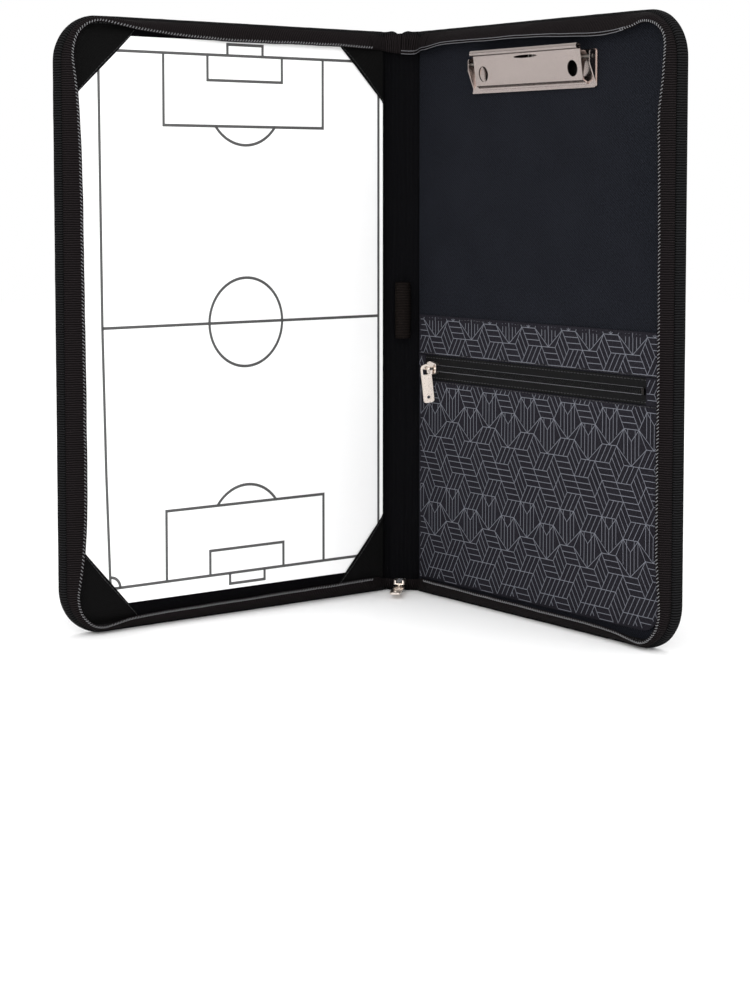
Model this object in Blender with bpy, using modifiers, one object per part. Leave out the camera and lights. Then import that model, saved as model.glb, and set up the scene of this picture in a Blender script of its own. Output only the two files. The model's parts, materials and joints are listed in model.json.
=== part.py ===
"""Zip-round tactics folder, standing open like a book.

Two padded covers hinge on a soft rounded spine. The front cover holds a pitch board under four
corner pockets. The back cover carries a sprung clip, a zipped pocket and its slider. A gusset with
half of the main zip runs round the outer edges of each cover, and its slider waits at the foot of
the spine. Sizes are in metres and +Z is up. Each panel is drawn in its own frame: X across, Y up
and Z towards the inside of the folder, with Z = 0 at the outermost face.
"""

from math import atan2, cos, pi, radians, sin, sqrt, tan

import bmesh
import bpy
from mathutils import Matrix, Vector

# Overall sizes
HEIGHT = 0.350
COVER_WIDTH = 0.235
SPINE_WIDTH = 0.024
CORNER_RADIUS = 0.027
SPINE_CROWN = 0.004
GAP = 0.0003

# Plan angles of the three panels, as the folder stands open
FRONT_TURN = radians(38.6)
SPINE_TURN = radians(-7.7)
BACK_TURN = radians(-54.0)

# Thickness of each layer
BINDING_THICKNESS = 0.0007
FABRIC_THICKNESS = 0.0008
PADDING_THICKNESS = 0.0015
STIFFENER_THICKNESS = 0.0015
LINING_THICKNESS = 0.0006
BOARD_THICKNESS = 0.0015
POCKET_THICKNESS = 0.0008
PRINT_THICKNESS = 0.0006
SPINE_PADDING_TOP = 0.0034

# How far each thing lies in from an edge or from the fold
FOLD_CLEARANCE = 0.0003
STACK_START = 0.004
SPINE_LINING_INSET = 0.0015
SPINE_PADDING_INSET = 0.002
BINDING_FACE = 0.0095
BINDING_INNER_LEG = 0.005
BINDING_SOFT_EDGE = 0.0012
CORE_INSET = 0.004

# Main zip: a gusset that leans in, and the coil on its free edge
GUSSET_START = 0.0165
GUSSET_FOOT = 0.0018
GUSSET_THICKNESS = 0.0009
COIL_INSET = 0.0088
COIL_RADIUS = 0.0011
COIL_GAP = 0.0002
TAIL_THICKNESS = 0.0009
TAIL_SIDE_ROOM = 0.0062
TAIL_INSET = 0.0009
TAIL_REACH = 0.0067

# Board and its corner pockets
BOARD_START = 0.0055
BOARD_SIDE_INSET = 0.010
BOARD_TOP_INSET = 0.0108
BOARD_FOOT_INSET = 0.0152
BOARD_RADIUS = 0.012
POCKET_LEG = 0.0342
POCKET_WALL = 0.001

# Woven band, narrow tape and round badge on the outside of the front cover
BAND_FROM_FOLD = 0.0121
BAND_WIDTH = 0.039
TAPE_WIDTH = 0.0055
TAPE_GAP = 0.0004
BAND_THICKNESS = 0.0007
BADGE_IN = 0.0726
BADGE_DOWN = 0.0755
BADGE_RADIUS = 0.0305
BADGE_THICKNESS = 0.0004

# Zipped pocket on the back cover
PRINT_START = 0.0055
PRINT_SIDE_INSET = 0.0098
PRINT_LOW = 0.0098
PRINT_RADIUS = 0.0165
PRINT_TOP = 0.175
ZIP_WINDOW_TOP = 0.150
ZIP_WINDOW_LOW = 0.135
ZIP_START = 0.016
ZIP_END_INSET = 0.026
TAPE_THICKNESS = 0.0005
TAPE_SPLIT = 0.0011
POCKET_COIL_WIDTH = 0.0032
POCKET_COIL_HEIGHT = 0.0016
STOP_LENGTH = 0.0018
SLIDER_PARK = 0.0052

# Zip slider and its puller
SLIDER_LENGTH = 0.009
SLIDER_TAIL_HALF = 0.0029
SLIDER_SHOULDER_HALF = 0.0042
SLIDER_NOSE_HALF = 0.0034
SLIDER_ROOF = 0.0008
SLIDER_FLANGE_DROP = 0.0008
ARCH_SPAN = 0.0074
ARCH_BAR = 0.0012
ARCH_HEIGHT = 0.0049
ARCH_WIDTH = 0.0014
PULLER_LENGTH = 0.0240
PULLER_HALF = 0.0034
PULLER_THICKNESS = 0.0012
PULLER_RIM = 0.0013
PULLER_WINDOW_END = 0.0038
PULLER_LIFT = 0.0019
PULLER_LEAN = radians(7.5)
PULLER_TWIST = radians(20)
GRIP_HOLE_RADIUS = 0.0011
MAIN_SLIDER_UP = 0.0076
MAIN_COIL_LENGTH = 0.0095

# Elastic pen loop on the spine
PEN_LOOP_LOW = 0.160
PEN_LOOP_LENGTH = 0.035
PEN_LOOP_WIDTH = 0.0094
PEN_LOOP_HEIGHT = 0.0090
PEN_LOOP_WALL = 0.0008
PEN_LOOP_SHIFT = 0.0012

# Board clip
CLIP_ACROSS = 0.114
CLIP_DOWN = 0.0405
CLIP_BASE_DEPTH = 0.0215
CLIP_METAL = 0.0008
CLIP_LIP = 0.0008
EAR_CLEARANCE = 0.0061
EAR_TO_EDGE = 0.0007
CLIP_CORNER = 0.0015
EAR_TOP = 0.0024
PIN_IN = 0.0173
PIN_RADIUS = 0.0009
PIN_ABOVE_BASE = 0.0024
PIN_CLEARANCE = 0.0003
RIVET_IN = 0.0095
RIVET_FROM_END = 0.0079
RIVET_SHANK_RADIUS = 0.0020
RIVET_HEAD_RADIUS = 0.0032
RIVET_HEAD_HEIGHT = 0.0008
SPRING_WIRE = 0.0004
SPRING_TURN_GAP = 0.00045
SPRING_LEG = 0.006
SPRING_TURNS = 5
LEVER_PRESS = radians(30)

# The clip's lever, measured along and away from the cover from the middle of its pin
LEVER_WIDTH = 0.0955
JAW_TIP = 0.0153
JAW_FOOT = 0.0011
PLATE_LOW = 0.0128
PLATE_LOW_RISE = 0.0009
PLATE_HIGH = 0.0046
PLATE_HIGH_RISE = 0.0035
HANDLE_END = 0.0060
HANDLE_RISE = 0.0036
ROLL_RADIUS = 0.0014
ROLL_CURL = radians(280)
FLANGE_DROP = 0.0023
FLANGE_HALF = 0.0036
ACCESS_ACROSS = 0.0043
ACCESS_ALONG = 0.0046
NOTCH_HALF = 0.0105
NOTCH_DEPTH = 0.0009

ARC_STEPS = 8
FINE_STEPS = 4
ROUND_STEPS = 20


def linear(hex_colour):
    """An sRGB hex colour as the linear values that a shader takes."""
    values = [int(hex_colour[i : i + 2], 16) / 255 for i in (0, 2, 4)]
    return [v / 12.92 if v <= 0.04045 else ((v + 0.055) / 1.055) ** 2.4 for v in values] + [1]


def material(name, colour, roughness, metallic=0.0):
    made = bpy.data.materials.new(name)
    made.use_nodes = True
    shader = made.node_tree.nodes["Principled BSDF"]
    shader.inputs["Base Color"].default_value = linear(colour)
    shader.inputs["Roughness"].default_value = roughness
    shader.inputs["Metallic"].default_value = metallic
    made.diffuse_color = linear(colour)
    return made


def clear_scene():
    for item in list(bpy.data.objects):
        bpy.data.objects.remove(item)


def new_collection(name):
    made = bpy.data.collections.new(name)
    bpy.context.scene.collection.children.link(made)
    return made


clear_scene()
PARTS = new_collection("tactics_folder")
CUTTERS = new_collection("cutters")

CANVAS = material("woven polyester", "2A292E", 0.85)
BINDING = material("grosgrain binding", "2C2B2C", 0.80)
LINING = material("charcoal lining", "1C1F24", 0.90)
PRINTED = material("printed lining", "333136", 0.85)
FOAM = material("foam padding", "3A3A3C", 0.95)
FIBREBOARD = material("fibreboard", "8A7350", 0.90)
GUSSET = material("zip tape", "17171A", 0.85)
COIL = material("nylon coil", "2A2A2A", 0.45)
BOARD = material("white board film", "F7F7F5", 0.25)
WEBBING = material("woven webbing", "2F2F33", 0.75)
BADGE = material("transfer badge", "0A78C8", 0.50)
NICKEL = material("nickel plate", "C9C2BC", 0.18, 1.0)
SPRING_STEEL = material("spring steel", "8C8A86", 0.35, 1.0)
ELASTIC = material("ribbed elastic", "1E1E20", 0.85)


def frame(name, parent, place=(0, 0, 0), turn=None):
    """An empty that carries a panel or a moving piece, with the piece's axis through its origin."""
    made = bpy.data.objects.new(name, None)
    made.empty_display_size = 0.01
    made.parent = parent
    made.location = place
    if turn is not None:
        made.rotation_euler = turn
    PARTS.objects.link(made)
    return made


def finish(item, look, parent):
    item.parent = parent
    item.data.materials.append(look)
    return item


def rounded(corners, steps=ARC_STEPS):
    """The points of a closed outline, from corners given as (x, y, radius)."""
    points = []
    for i, (x, y, radius) in enumerate(corners):
        here = Vector((x, y))
        if radius == 0:
            points.append(here)
            continue
        back = (Vector(corners[i - 1][:2]) - here).normalized()
        ahead = (Vector(corners[(i + 1) % len(corners)][:2]) - here).normalized()
        half = back.angle(ahead) / 2
        centre = here + (back + ahead).normalized() * (radius / sin(half))
        first = here + back * (radius / tan(half)) - centre
        last = here + ahead * (radius / tan(half)) - centre
        sweep = atan2(first.x * last.y - first.y * last.x, first.dot(last))
        for k in range(steps + 1):
            turned = Matrix.Rotation(sweep * k / steps, 2) @ first
            points.append(centre + turned)
    return points


def circle(x, y, radius, steps=ROUND_STEPS):
    return [Vector((x + radius * cos(2 * pi * k / steps), y + radius * sin(2 * pi * k / steps))) for k in range(steps)]


def oval(x, y, half_x, half_y, steps=ROUND_STEPS):
    return [Vector((x + half_x * cos(2 * pi * k / steps), y + half_y * sin(2 * pi * k / steps))) for k in range(steps)]


def strip(points, thickness):
    """The outline of a sheet of this thickness, from the line along its middle."""
    middle = [Vector(p) for p in points]
    left, right = [], []
    for i, here in enumerate(middle):
        last = (here - middle[i - 1]).normalized() if i else (middle[1] - here).normalized()
        ahead = (middle[i + 1] - here).normalized() if i + 1 < len(middle) else last
        along = (last + ahead).normalized()
        side = Vector((-along.y, along.x)) * (thickness / 2 / max(along.dot(ahead), 0.5))
        left.append(here + side)
        right.append(here - side)
    return left + right[::-1]


def flat_curve(name, outlines, cyclic=True):
    data = bpy.data.curves.new(name, "CURVE")
    data.dimensions = "2D"
    data.fill_mode = "BOTH"
    for outline in outlines:
        spline = data.splines.new("POLY")
        spline.points.add(len(outline) - 1)
        for point, place in zip(spline.points, outline):
            point.co = (place[0], place[1], 0, 1)
        spline.use_cyclic_u = cyclic
    return bpy.data.objects.new(name, data)


# Turns a flat curve so that its outline is read as (x, y), (x, z) or (y, z) and it is thick along the rest
FACING = {"z": (0, 0, 0), "y": (pi / 2, 0, 0), "x": (pi / 2, 0, pi / 2)}


def prism(name, outlines, axis, low, high, look, parent):
    """A flat outline, with any holes after it, extruded along an axis of its panel."""
    item = flat_curve(name, outlines)
    item.data.extrude = (high - low) / 2
    item.rotation_euler = FACING[axis]
    item.location["xyz".index(axis)] = (low + high) / 2
    PARTS.objects.link(item)
    return finish(item, look, parent)


def tube(name, points, radius, look, parent, sides=2):
    data = bpy.data.curves.new(name, "CURVE")
    data.dimensions = "3D"
    data.bevel_depth = radius
    data.bevel_resolution = sides
    data.use_fill_caps = True
    spline = data.splines.new("POLY")
    spline.points.add(len(points) - 1)
    for point, place in zip(spline.points, points):
        point.co = (*place, 1)
    item = bpy.data.objects.new(name, data)
    PARTS.objects.link(item)
    return finish(item, look, parent)


def as_mesh(item):
    """The same shape as a closed mesh, which can be cut or joined."""
    bpy.context.view_layer.update()
    graph = bpy.context.evaluated_depsgraph_get()
    data = bpy.data.meshes.new_from_object(item.evaluated_get(graph))
    shape = bmesh.new()
    shape.from_mesh(data)
    bmesh.ops.remove_doubles(shape, verts=shape.verts, dist=1e-6)
    bmesh.ops.recalc_face_normals(shape, faces=shape.faces)
    shape.to_mesh(data)
    shape.free()
    name, look, parent = item.name, item.data.materials[0], item.parent
    placed = item.matrix_basis.copy()
    bpy.data.objects.remove(item)
    made = bpy.data.objects.new(name, data)
    made.data.materials.clear()
    made.matrix_basis = placed
    PARTS.objects.link(made)
    return finish(made, look, parent)


def sweep(name, path, section, look, parent):
    """A section, given as (inward, up) of the path, carried along a flat open path."""
    rail = flat_curve(name, [path], cyclic=False)
    profile = flat_curve(name + "_section", [section])
    rail.data.bevel_mode = "OBJECT"
    rail.data.bevel_object = profile
    rail.data.use_fill_caps = True
    PARTS.objects.link(rail)
    made = as_mesh(finish(rail, look, parent))
    bpy.data.objects.remove(profile)
    return made


def combine(item, tool, operation):
    """Cuts, joins or intersects a piece with a tool shape, which is then only a helper."""
    for collection in list(tool.users_collection):
        collection.objects.unlink(tool)
    CUTTERS.objects.link(tool)
    tool.hide_render = True
    tool.display_type = "WIRE"
    change = item.modifiers.new(operation.lower(), "BOOLEAN")
    change.operation = operation
    change.object = tool
    return item


def smooth(item, angle=35):
    item.data.shade_smooth()
    item.data.set_sharp_from_angle(angle=radians(angle))
    return item


# Levels of the cover's layers above its outermost face
FABRIC_LEVEL = BINDING_THICKNESS + GAP
PADDING_LEVEL = FABRIC_LEVEL + FABRIC_THICKNESS + GAP
STIFFENER_LEVEL = PADDING_LEVEL + PADDING_THICKNESS + GAP
LINING_LEVEL = STIFFENER_LEVEL + STIFFENER_THICKNESS + GAP
INNER_FACE = LINING_LEVEL + LINING_THICKNESS
ON_LINING = INNER_FACE + GAP
BINDING_TOP = ON_LINING + BINDING_THICKNESS
FOLD_LEVEL = FABRIC_LEVEL + FABRIC_THICKNESS
ZIP_PLANE = FOLD_LEVEL + SPINE_WIDTH / 2
EDGE = BINDING_THICKNESS + GAP
BOARD_TOP = ON_LINING + BOARD_THICKNESS
SLIDER_TOP = POCKET_COIL_HEIGHT / 2 + GAP + SLIDER_ROOF
CLIP_LOW = HEIGHT - CLIP_DOWN
PIN_UP = CLIP_LOW + PIN_IN
RIVET_UP = CLIP_LOW + RIVET_IN
RIVET_HALF = LEVER_WIDTH / 2 - RIVET_FROM_END
RIVETS = [(CLIP_ACROSS - RIVET_HALF, RIVET_UP), (CLIP_ACROSS + RIVET_HALF, RIVET_UP)]
EAR_INNER = LEVER_WIDTH / 2 + EAR_CLEARANCE
SPINE_LINING_LEVEL = SPINE_PADDING_TOP + GAP
SPINE_FACE = SPINE_LINING_LEVEL + LINING_THICKNESS
SPINE_BINDING_TOP = SPINE_FACE + GAP + BINDING_THICKNESS


def cover_outline(side, start, side_inset, end_inset, radius):
    """A cover's outline: square at the fold and round at its outer corners. Side is -1 for the front."""
    outer = COVER_WIDTH - side_inset
    corners = [
        (side * start, end_inset, 0),
        (side * outer, end_inset, radius),
        (side * outer, HEIGHT - end_inset, radius),
        (side * start, HEIGHT - end_inset, 0),
    ]
    return rounded(corners)


def edge_path(side, start):
    """The cover's outer edge from fold to fold, run so that its inside is on the right."""
    middle = [
        (COVER_WIDTH, 0, CORNER_RADIUS),
        (COVER_WIDTH, HEIGHT, CORNER_RADIUS),
    ]
    corners = [(start, 0, 0), *middle, (start, HEIGHT, 0)]
    points = [Vector((side * p.x, p.y)) for p in rounded(corners)]
    return points if side < 0 else points[::-1]


def binding_section():
    """The folded tape seen end on: an outer face, a soft edge and a shorter inner leg."""
    soft, thick = BINDING_SOFT_EDGE, BINDING_THICKNESS
    corners = [
        (0, 0, soft),
        (BINDING_FACE, 0, 0),
        (BINDING_FACE, thick, 0),
        (thick, thick, 0),
        (thick, ON_LINING, 0),
        (BINDING_INNER_LEG, ON_LINING, 0),
        (BINDING_INNER_LEG, BINDING_TOP, 0),
        (0, BINDING_TOP, soft),
    ]
    return rounded(corners, steps=3)


def gusset_line():
    """Foot and coil centre of the gusset, as (inward, up), and the direction from one to the other."""
    foot = Vector((GUSSET_FOOT, BINDING_TOP + GAP))
    coil = Vector((COIL_INSET, ZIP_PLANE - COIL_GAP - COIL_RADIUS))
    return foot, coil, (coil - foot).normalized()


def gusset_section():
    foot, coil, along = gusset_line()
    end = coil - along * (COIL_RADIUS + GAP)
    half = GUSSET_THICKNESS / 2
    across = Vector((-along.y, along.x)) * half
    spread = Vector((half / along.y, 0))
    return [foot - spread, foot + spread, end - across, end + across]


def cover(name, side, parent, rivets):
    """The layers of one cover with its binding, its gusset and its half of the main zip."""
    shanks = [circle(x, y, RIVET_SHANK_RADIUS + GAP) for x, y in rivets]
    clinches = [circle(x, y, RIVET_HEAD_RADIUS + GAP) for x, y in rivets]
    inner_radius = CORNER_RADIUS - EDGE
    core_edge = EDGE + CORE_INSET

    panel = cover_outline(side, FOLD_CLEARANCE, EDGE, EDGE, inner_radius)
    core = cover_outline(side, STACK_START, core_edge, core_edge, CORNER_RADIUS - core_edge)
    lining = cover_outline(side, STACK_START, EDGE, EDGE, inner_radius)
    layers = [
        ("outer_panel", [panel], FABRIC_LEVEL, FABRIC_THICKNESS, CANVAS),
        ("padding", [core, *clinches], PADDING_LEVEL, PADDING_THICKNESS, FOAM),
        ("stiffener", [core, *shanks], STIFFENER_LEVEL, STIFFENER_THICKNESS, FIBREBOARD),
        ("lining", [lining, *shanks], LINING_LEVEL, LINING_THICKNESS, LINING),
    ]
    for layer, outlines, level, thickness, look in layers:
        prism(f"{name}_{layer}", outlines, "z", level, level + thickness, look, parent)

    sweep(f"{name}_binding", edge_path(side, STACK_START), binding_section(), BINDING, parent)
    zip_path = edge_path(side, GUSSET_START)
    sweep(f"{name}_gusset", zip_path, gusset_section(), GUSSET, parent)
    _, coil, _ = gusset_line()
    sweep(f"{name}_zip_coil", zip_path, circle(coil.x, coil.y, COIL_RADIUS, 8), COIL, parent)


def spine_bulge(x):
    """How far the rounded spine lies outside its own fold lines at this place across it."""
    half_chord = SPINE_WIDTH / 2 - FOLD_CLEARANCE
    radius = (half_chord**2 + SPINE_CROWN**2) / (2 * SPINE_CROWN)
    return sqrt(radius**2 - (x - SPINE_WIDTH / 2) ** 2) - (radius - SPINE_CROWN)


def bulged(low, high, level, steps=12):
    """Points across the spine on a surface that follows its bulge."""
    places = [low + (high - low) * k / steps for k in range(steps + 1)]
    return [Vector((x, level - spine_bulge(x))) for x in places]


def bulged_strip(inset, level, top):
    """A spine layer seen end on: rounded outside, and flat or rounded inside."""
    low, high = inset, SPINE_WIDTH - inset
    if top is None:
        return bulged(low, high, level) + bulged(low, high, level + FABRIC_THICKNESS)[::-1]
    return bulged(low, high, level) + [Vector((high, top)), Vector((low, top))]


def spine_binding(name, low, high, parent):
    """Binding folded over one end of the spine. Its window leaves out the layers inside it."""
    whole = prism(name, [bulged_strip(FOLD_CLEARANCE, 0, SPINE_BINDING_TOP)], "y", low, high, BINDING, parent)
    inside = bulged_strip(-BINDING_THICKNESS, BINDING_THICKNESS, SPINE_BINDING_TOP - BINDING_THICKNESS)
    past = BINDING_FACE
    window = (low + BINDING_THICKNESS, high + past) if low == 0 else (low - past, high - BINDING_THICKNESS)
    tool = prism(name + "_window", [inside], "y", *window, BINDING, parent)
    combine(as_mesh(whole), as_mesh(tool), "DIFFERENCE")


def tail_line():
    """Middle line of the fabric tail that carries the end of the zip, as (in from the end, up)."""
    foot = SPINE_BINDING_TOP + GAP + TAIL_THICKNESS / 2
    reach = MAIN_SLIDER_UP
    return [(TAIL_INSET, foot), (reach * 0.62, foot + TAIL_INSET), (TAIL_REACH, foot + TAIL_INSET * 1.6)]


def spine(parent):
    """Rounded spine: cover fabric, padding, lining, bound ends, fabric tails and a pen loop."""
    ends = (EDGE, HEIGHT - EDGE)
    prism("spine_outer_panel", [bulged_strip(FOLD_CLEARANCE, FABRIC_LEVEL, None)], "y", *ends, CANVAS, parent)
    padding = bulged_strip(SPINE_PADDING_INSET, PADDING_LEVEL, SPINE_PADDING_TOP)
    prism("spine_padding", [padding], "y", *ends, FOAM, parent)
    low, high = SPINE_LINING_INSET, SPINE_WIDTH - SPINE_LINING_INSET
    lining = rounded([(low, EDGE, 0), (high, EDGE, 0), (high, HEIGHT - EDGE, 0), (low, HEIGHT - EDGE, 0)])
    prism("spine_lining", [lining], "z", SPINE_LINING_LEVEL, SPINE_FACE, LINING, parent)
    spine_binding("spine_binding_bottom", 0, BINDING_FACE, parent)
    spine_binding("spine_binding_top", HEIGHT - BINDING_FACE, HEIGHT, parent)

    outline = strip(tail_line(), TAIL_THICKNESS)
    sides = (TAIL_SIDE_ROOM, SPINE_WIDTH - TAIL_SIDE_ROOM)
    prism("zip_tail_bottom", [outline], "x", *sides, GUSSET, parent)
    prism("zip_tail_top", [[(HEIGHT - y, z) for y, z in outline]], "x", *sides, GUSSET, parent)
    pen_loop(parent)


def pen_loop(parent):
    """A tunnel of ribbed elastic, open at both ends, that holds a marker."""
    centre = SPINE_WIDTH / 2 + PEN_LOOP_SHIFT
    low = SPINE_FACE + GAP
    outlines = []
    for inset, radius in ((0, 0.0036), (PEN_LOOP_WALL, 0.0029)):
        half = PEN_LOOP_WIDTH / 2 - inset
        corners = [
            (centre - half, low + inset, radius / 3),
            (centre + half, low + inset, radius / 3),
            (centre + half, low + PEN_LOOP_HEIGHT - inset, radius),
            (centre - half, low + PEN_LOOP_HEIGHT - inset, radius),
        ]
        outlines.append(rounded(corners, steps=FINE_STEPS))
    top = PEN_LOOP_LOW + PEN_LOOP_LENGTH
    prism("pen_loop", outlines, "y", PEN_LOOP_LOW, top, ELASTIC, parent)


def tactics_board(parent):
    """The pitch board, and a pocket over each of its corners that holds it down."""
    def outline(grow):
        return rounded(
            [
                (-BOARD_START + grow, BOARD_FOOT_INSET - grow, BOARD_RADIUS + grow),
                (-BOARD_START + grow, HEIGHT - BOARD_TOP_INSET + grow, BOARD_RADIUS + grow),
                (-COVER_WIDTH + BOARD_SIDE_INSET - grow, HEIGHT - BOARD_TOP_INSET + grow, BOARD_RADIUS + grow),
                (-COVER_WIDTH + BOARD_SIDE_INSET - grow, BOARD_FOOT_INSET - grow, BOARD_RADIUS + grow),
            ]
        )

    prism("tactics_board", [outline(0)], "z", ON_LINING, BOARD_TOP, BOARD, parent)
    wall = GAP + POCKET_WALL
    near, far = -BOARD_START + wall, -COVER_WIDTH + BOARD_SIDE_INSET - wall
    low, high = BOARD_FOOT_INSET - wall, HEIGHT - BOARD_TOP_INSET + wall
    places = {
        "corner_pocket_spine_bottom": (near, low, -1, 1),
        "corner_pocket_spine_top": (near, high, -1, -1),
        "corner_pocket_outer_bottom": (far, low, 1, 1),
        "corner_pocket_outer_top": (far, high, 1, -1),
    }
    leg = POCKET_LEG + wall
    top = BOARD_TOP + GAP + POCKET_THICKNESS
    for name, (x, y, across, up) in places.items():
        corners = [(x, y, BOARD_RADIUS + wall), (x + across * leg, y, 0), (x, y + up * leg, 0)]
        pocket = prism(name, [rounded(corners)], "z", ON_LINING, top, CANVAS, parent)
        room = prism(name + "_room", [outline(GAP)], "z", 0, BOARD_TOP + GAP, CANVAS, parent)
        combine(as_mesh(pocket), as_mesh(room), "DIFFERENCE")


def front_outside(parent):
    """Woven band, narrow tape and badge on the outer face of the front cover."""
    level = FABRIC_LEVEL - GAP
    low, high = BINDING_FACE + GAP, HEIGHT - BINDING_FACE - GAP
    band_far = -BAND_FROM_FOLD - BAND_WIDTH
    tape_far = band_far - TAPE_GAP - TAPE_WIDTH
    for name, far, width in (("narrow_tape", tape_far, TAPE_WIDTH), ("woven_band", band_far, BAND_WIDTH)):
        outline = [(far, low), (far + width, low), (far + width, high), (far, high)]
        prism(name, [outline], "z", level - BAND_THICKNESS, level, WEBBING, parent)
    disc = circle(-COVER_WIDTH + BADGE_IN, HEIGHT - BADGE_DOWN, BADGE_RADIUS, 3 * ROUND_STEPS)
    prism("front_badge", [disc], "z", level - BADGE_THICKNESS, level, BADGE, parent)


def zip_slider(name, parent, look):
    """A slider: nose at +X, zip running along X through its channel, arch above it at +Z."""
    half_channel = POCKET_COIL_WIDTH / 2 + GAP
    roof = SLIDER_TOP
    ceiling = roof - SLIDER_ROOF
    floor = -SLIDER_FLANGE_DROP
    half = SLIDER_SHOULDER_HALF
    channel = [
        (-half, floor),
        (-half_channel, floor),
        (-half_channel, ceiling),
        (half_channel, ceiling),
        (half_channel, floor),
        (half, floor),
        (half, roof),
        (-half, roof),
    ]
    end = SLIDER_LENGTH / 2
    shield = rounded(
        [
            (-end, -SLIDER_TAIL_HALF, 0.0008),
            (end * 0.3, -half, 0.0015),
            (end, -SLIDER_NOSE_HALF, 0.0012),
            (end, SLIDER_NOSE_HALF, 0.0012),
            (end * 0.3, half, 0.0015),
            (-end, SLIDER_TAIL_HALF, 0.0008),
        ],
        steps=3,
    )
    body = as_mesh(prism(name, [channel], "x", -end, end, look, parent))
    plan = as_mesh(prism(name + "_plan", [shield], "z", 2 * floor, 2 * roof, look, parent))
    combine(body, plan, "INTERSECT")

    outer, inner = ARCH_SPAN / 2, ARCH_SPAN / 2 - ARCH_BAR
    root, top = roof - SLIDER_ROOF / 2, roof + ARCH_HEIGHT
    arch = rounded(
        [
            (-outer, root, 0),
            (-outer, top, 0.0014),
            (outer, top, 0.0014),
            (outer, root, 0),
            (inner, root, 0),
            (inner, top - ARCH_BAR, 0.0006),
            (-inner, top - ARCH_BAR, 0.0006),
            (-inner, root, 0),
        ],
        steps=3,
    )
    half_arch = ARCH_WIDTH / 2
    combine(body, as_mesh(prism(name + "_arch", [arch], "y", -half_arch, half_arch, look, parent)), "UNION")


def zip_puller(name, hinge, look):
    """A flat puller with the slider's arch through its window, lying along +X of its hinge."""
    back = ARCH_WIDTH / 2 + 2 * GAP
    rear, far = -back - PULLER_RIM, PULLER_LENGTH - back - PULLER_RIM
    side = PULLER_HALF
    plate = rounded(
        [(rear, -side, 0.0030), (far, -side, 0.0016), (far, side, 0.0016), (rear, side, 0.0030)],
        steps=FINE_STEPS,
    )
    room, end = side - PULLER_RIM, PULLER_WINDOW_END
    corner = room * 0.8
    window = rounded([(-back, -room, corner), (end, -room, 0.0004), (end, room, 0.0004), (-back, room, corner)], steps=3)
    grip = circle(far - side, 0, GRIP_HOLE_RADIUS, 10)
    half = PULLER_THICKNESS / 2
    prism(name, [plate, window, grip], "z", -half, half, look, hinge)


def zip_pocket(parent):
    """Printed pocket with a zip across it, and the slider at the fold end of its travel."""
    far = COVER_WIDTH - PRINT_SIDE_INSET
    top = ON_LINING + PRINT_THICKNESS
    tape_top = ON_LINING + TAPE_THICKNESS
    middle = (ZIP_WINDOW_TOP + ZIP_WINDOW_LOW) / 2

    def sheet(name, low, high, radius, level, look):
        corners = [(PRINT_START, low, 0), (far, low, radius), (far, high, 0), (PRINT_START, high, 0)]
        prism(name, [rounded(corners)], "z", ON_LINING, level, look, parent)

    sheet("pocket_panel", PRINT_LOW, ZIP_WINDOW_LOW - GAP, PRINT_RADIUS, top, PRINTED)
    sheet("pocket_top_band", ZIP_WINDOW_TOP + GAP, PRINT_TOP, 0, top, PRINTED)
    sheet("pocket_zip_tape_lower", ZIP_WINDOW_LOW, middle - TAPE_SPLIT / 2, 0, tape_top, GUSSET)
    sheet("pocket_zip_tape_upper", middle + TAPE_SPLIT / 2, ZIP_WINDOW_TOP, 0, tape_top, GUSSET)

    coil_low = tape_top + GAP
    centre = coil_low + POCKET_COIL_HEIGHT / 2
    start, end = ZIP_START, COVER_WIDTH - ZIP_END_INSET
    coil = oval(middle, centre, POCKET_COIL_WIDTH / 2, POCKET_COIL_HEIGHT / 2, 10)
    prism("pocket_zip_coil", [coil], "x", start, end, COIL, parent)
    half = POCKET_COIL_WIDTH / 2 + GAP
    stop_top = coil_low + POCKET_COIL_HEIGHT
    for name, low in (("pocket_zip_stop_fold", start - GAP - STOP_LENGTH), ("pocket_zip_stop_outer", end + GAP)):
        corners = [
            (middle - half, coil_low, 0),
            (middle + half, coil_low, 0),
            (middle + half, stop_top, 0.0006),
            (middle - half, stop_top, 0.0006),
        ]
        prism(name, [rounded(corners, steps=3)], "x", low, low + STOP_LENGTH, NICKEL, parent)

    parked = start + SLIDER_PARK
    carrier = frame("pocket_slider_frame", parent, (parked, middle, centre), (0, 0, pi))
    zip_slider("pocket_zip_slider", carrier, NICKEL)
    # The puller hangs down the cover, turned a little on its arch, with its tip resting on the pocket
    hanging = Matrix(((0, 0, 1), (1, 0, 0), (0, 1, 0))) @ Matrix.Rotation(-PULLER_LEAN, 3, "Z")
    hanging = hanging @ Matrix.Rotation(PULLER_TWIST, 3, "X")
    hinge = frame("pocket_puller_hinge", carrier, (0, 0, SLIDER_TOP + ARCH_HEIGHT - ARCH_BAR / 2), hanging.to_euler())
    zip_puller("pocket_zip_puller", hinge, NICKEL)
    print("pocket zip travel", round(end - start - 2 * SLIDER_PARK, 5))
    return hinge


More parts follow.
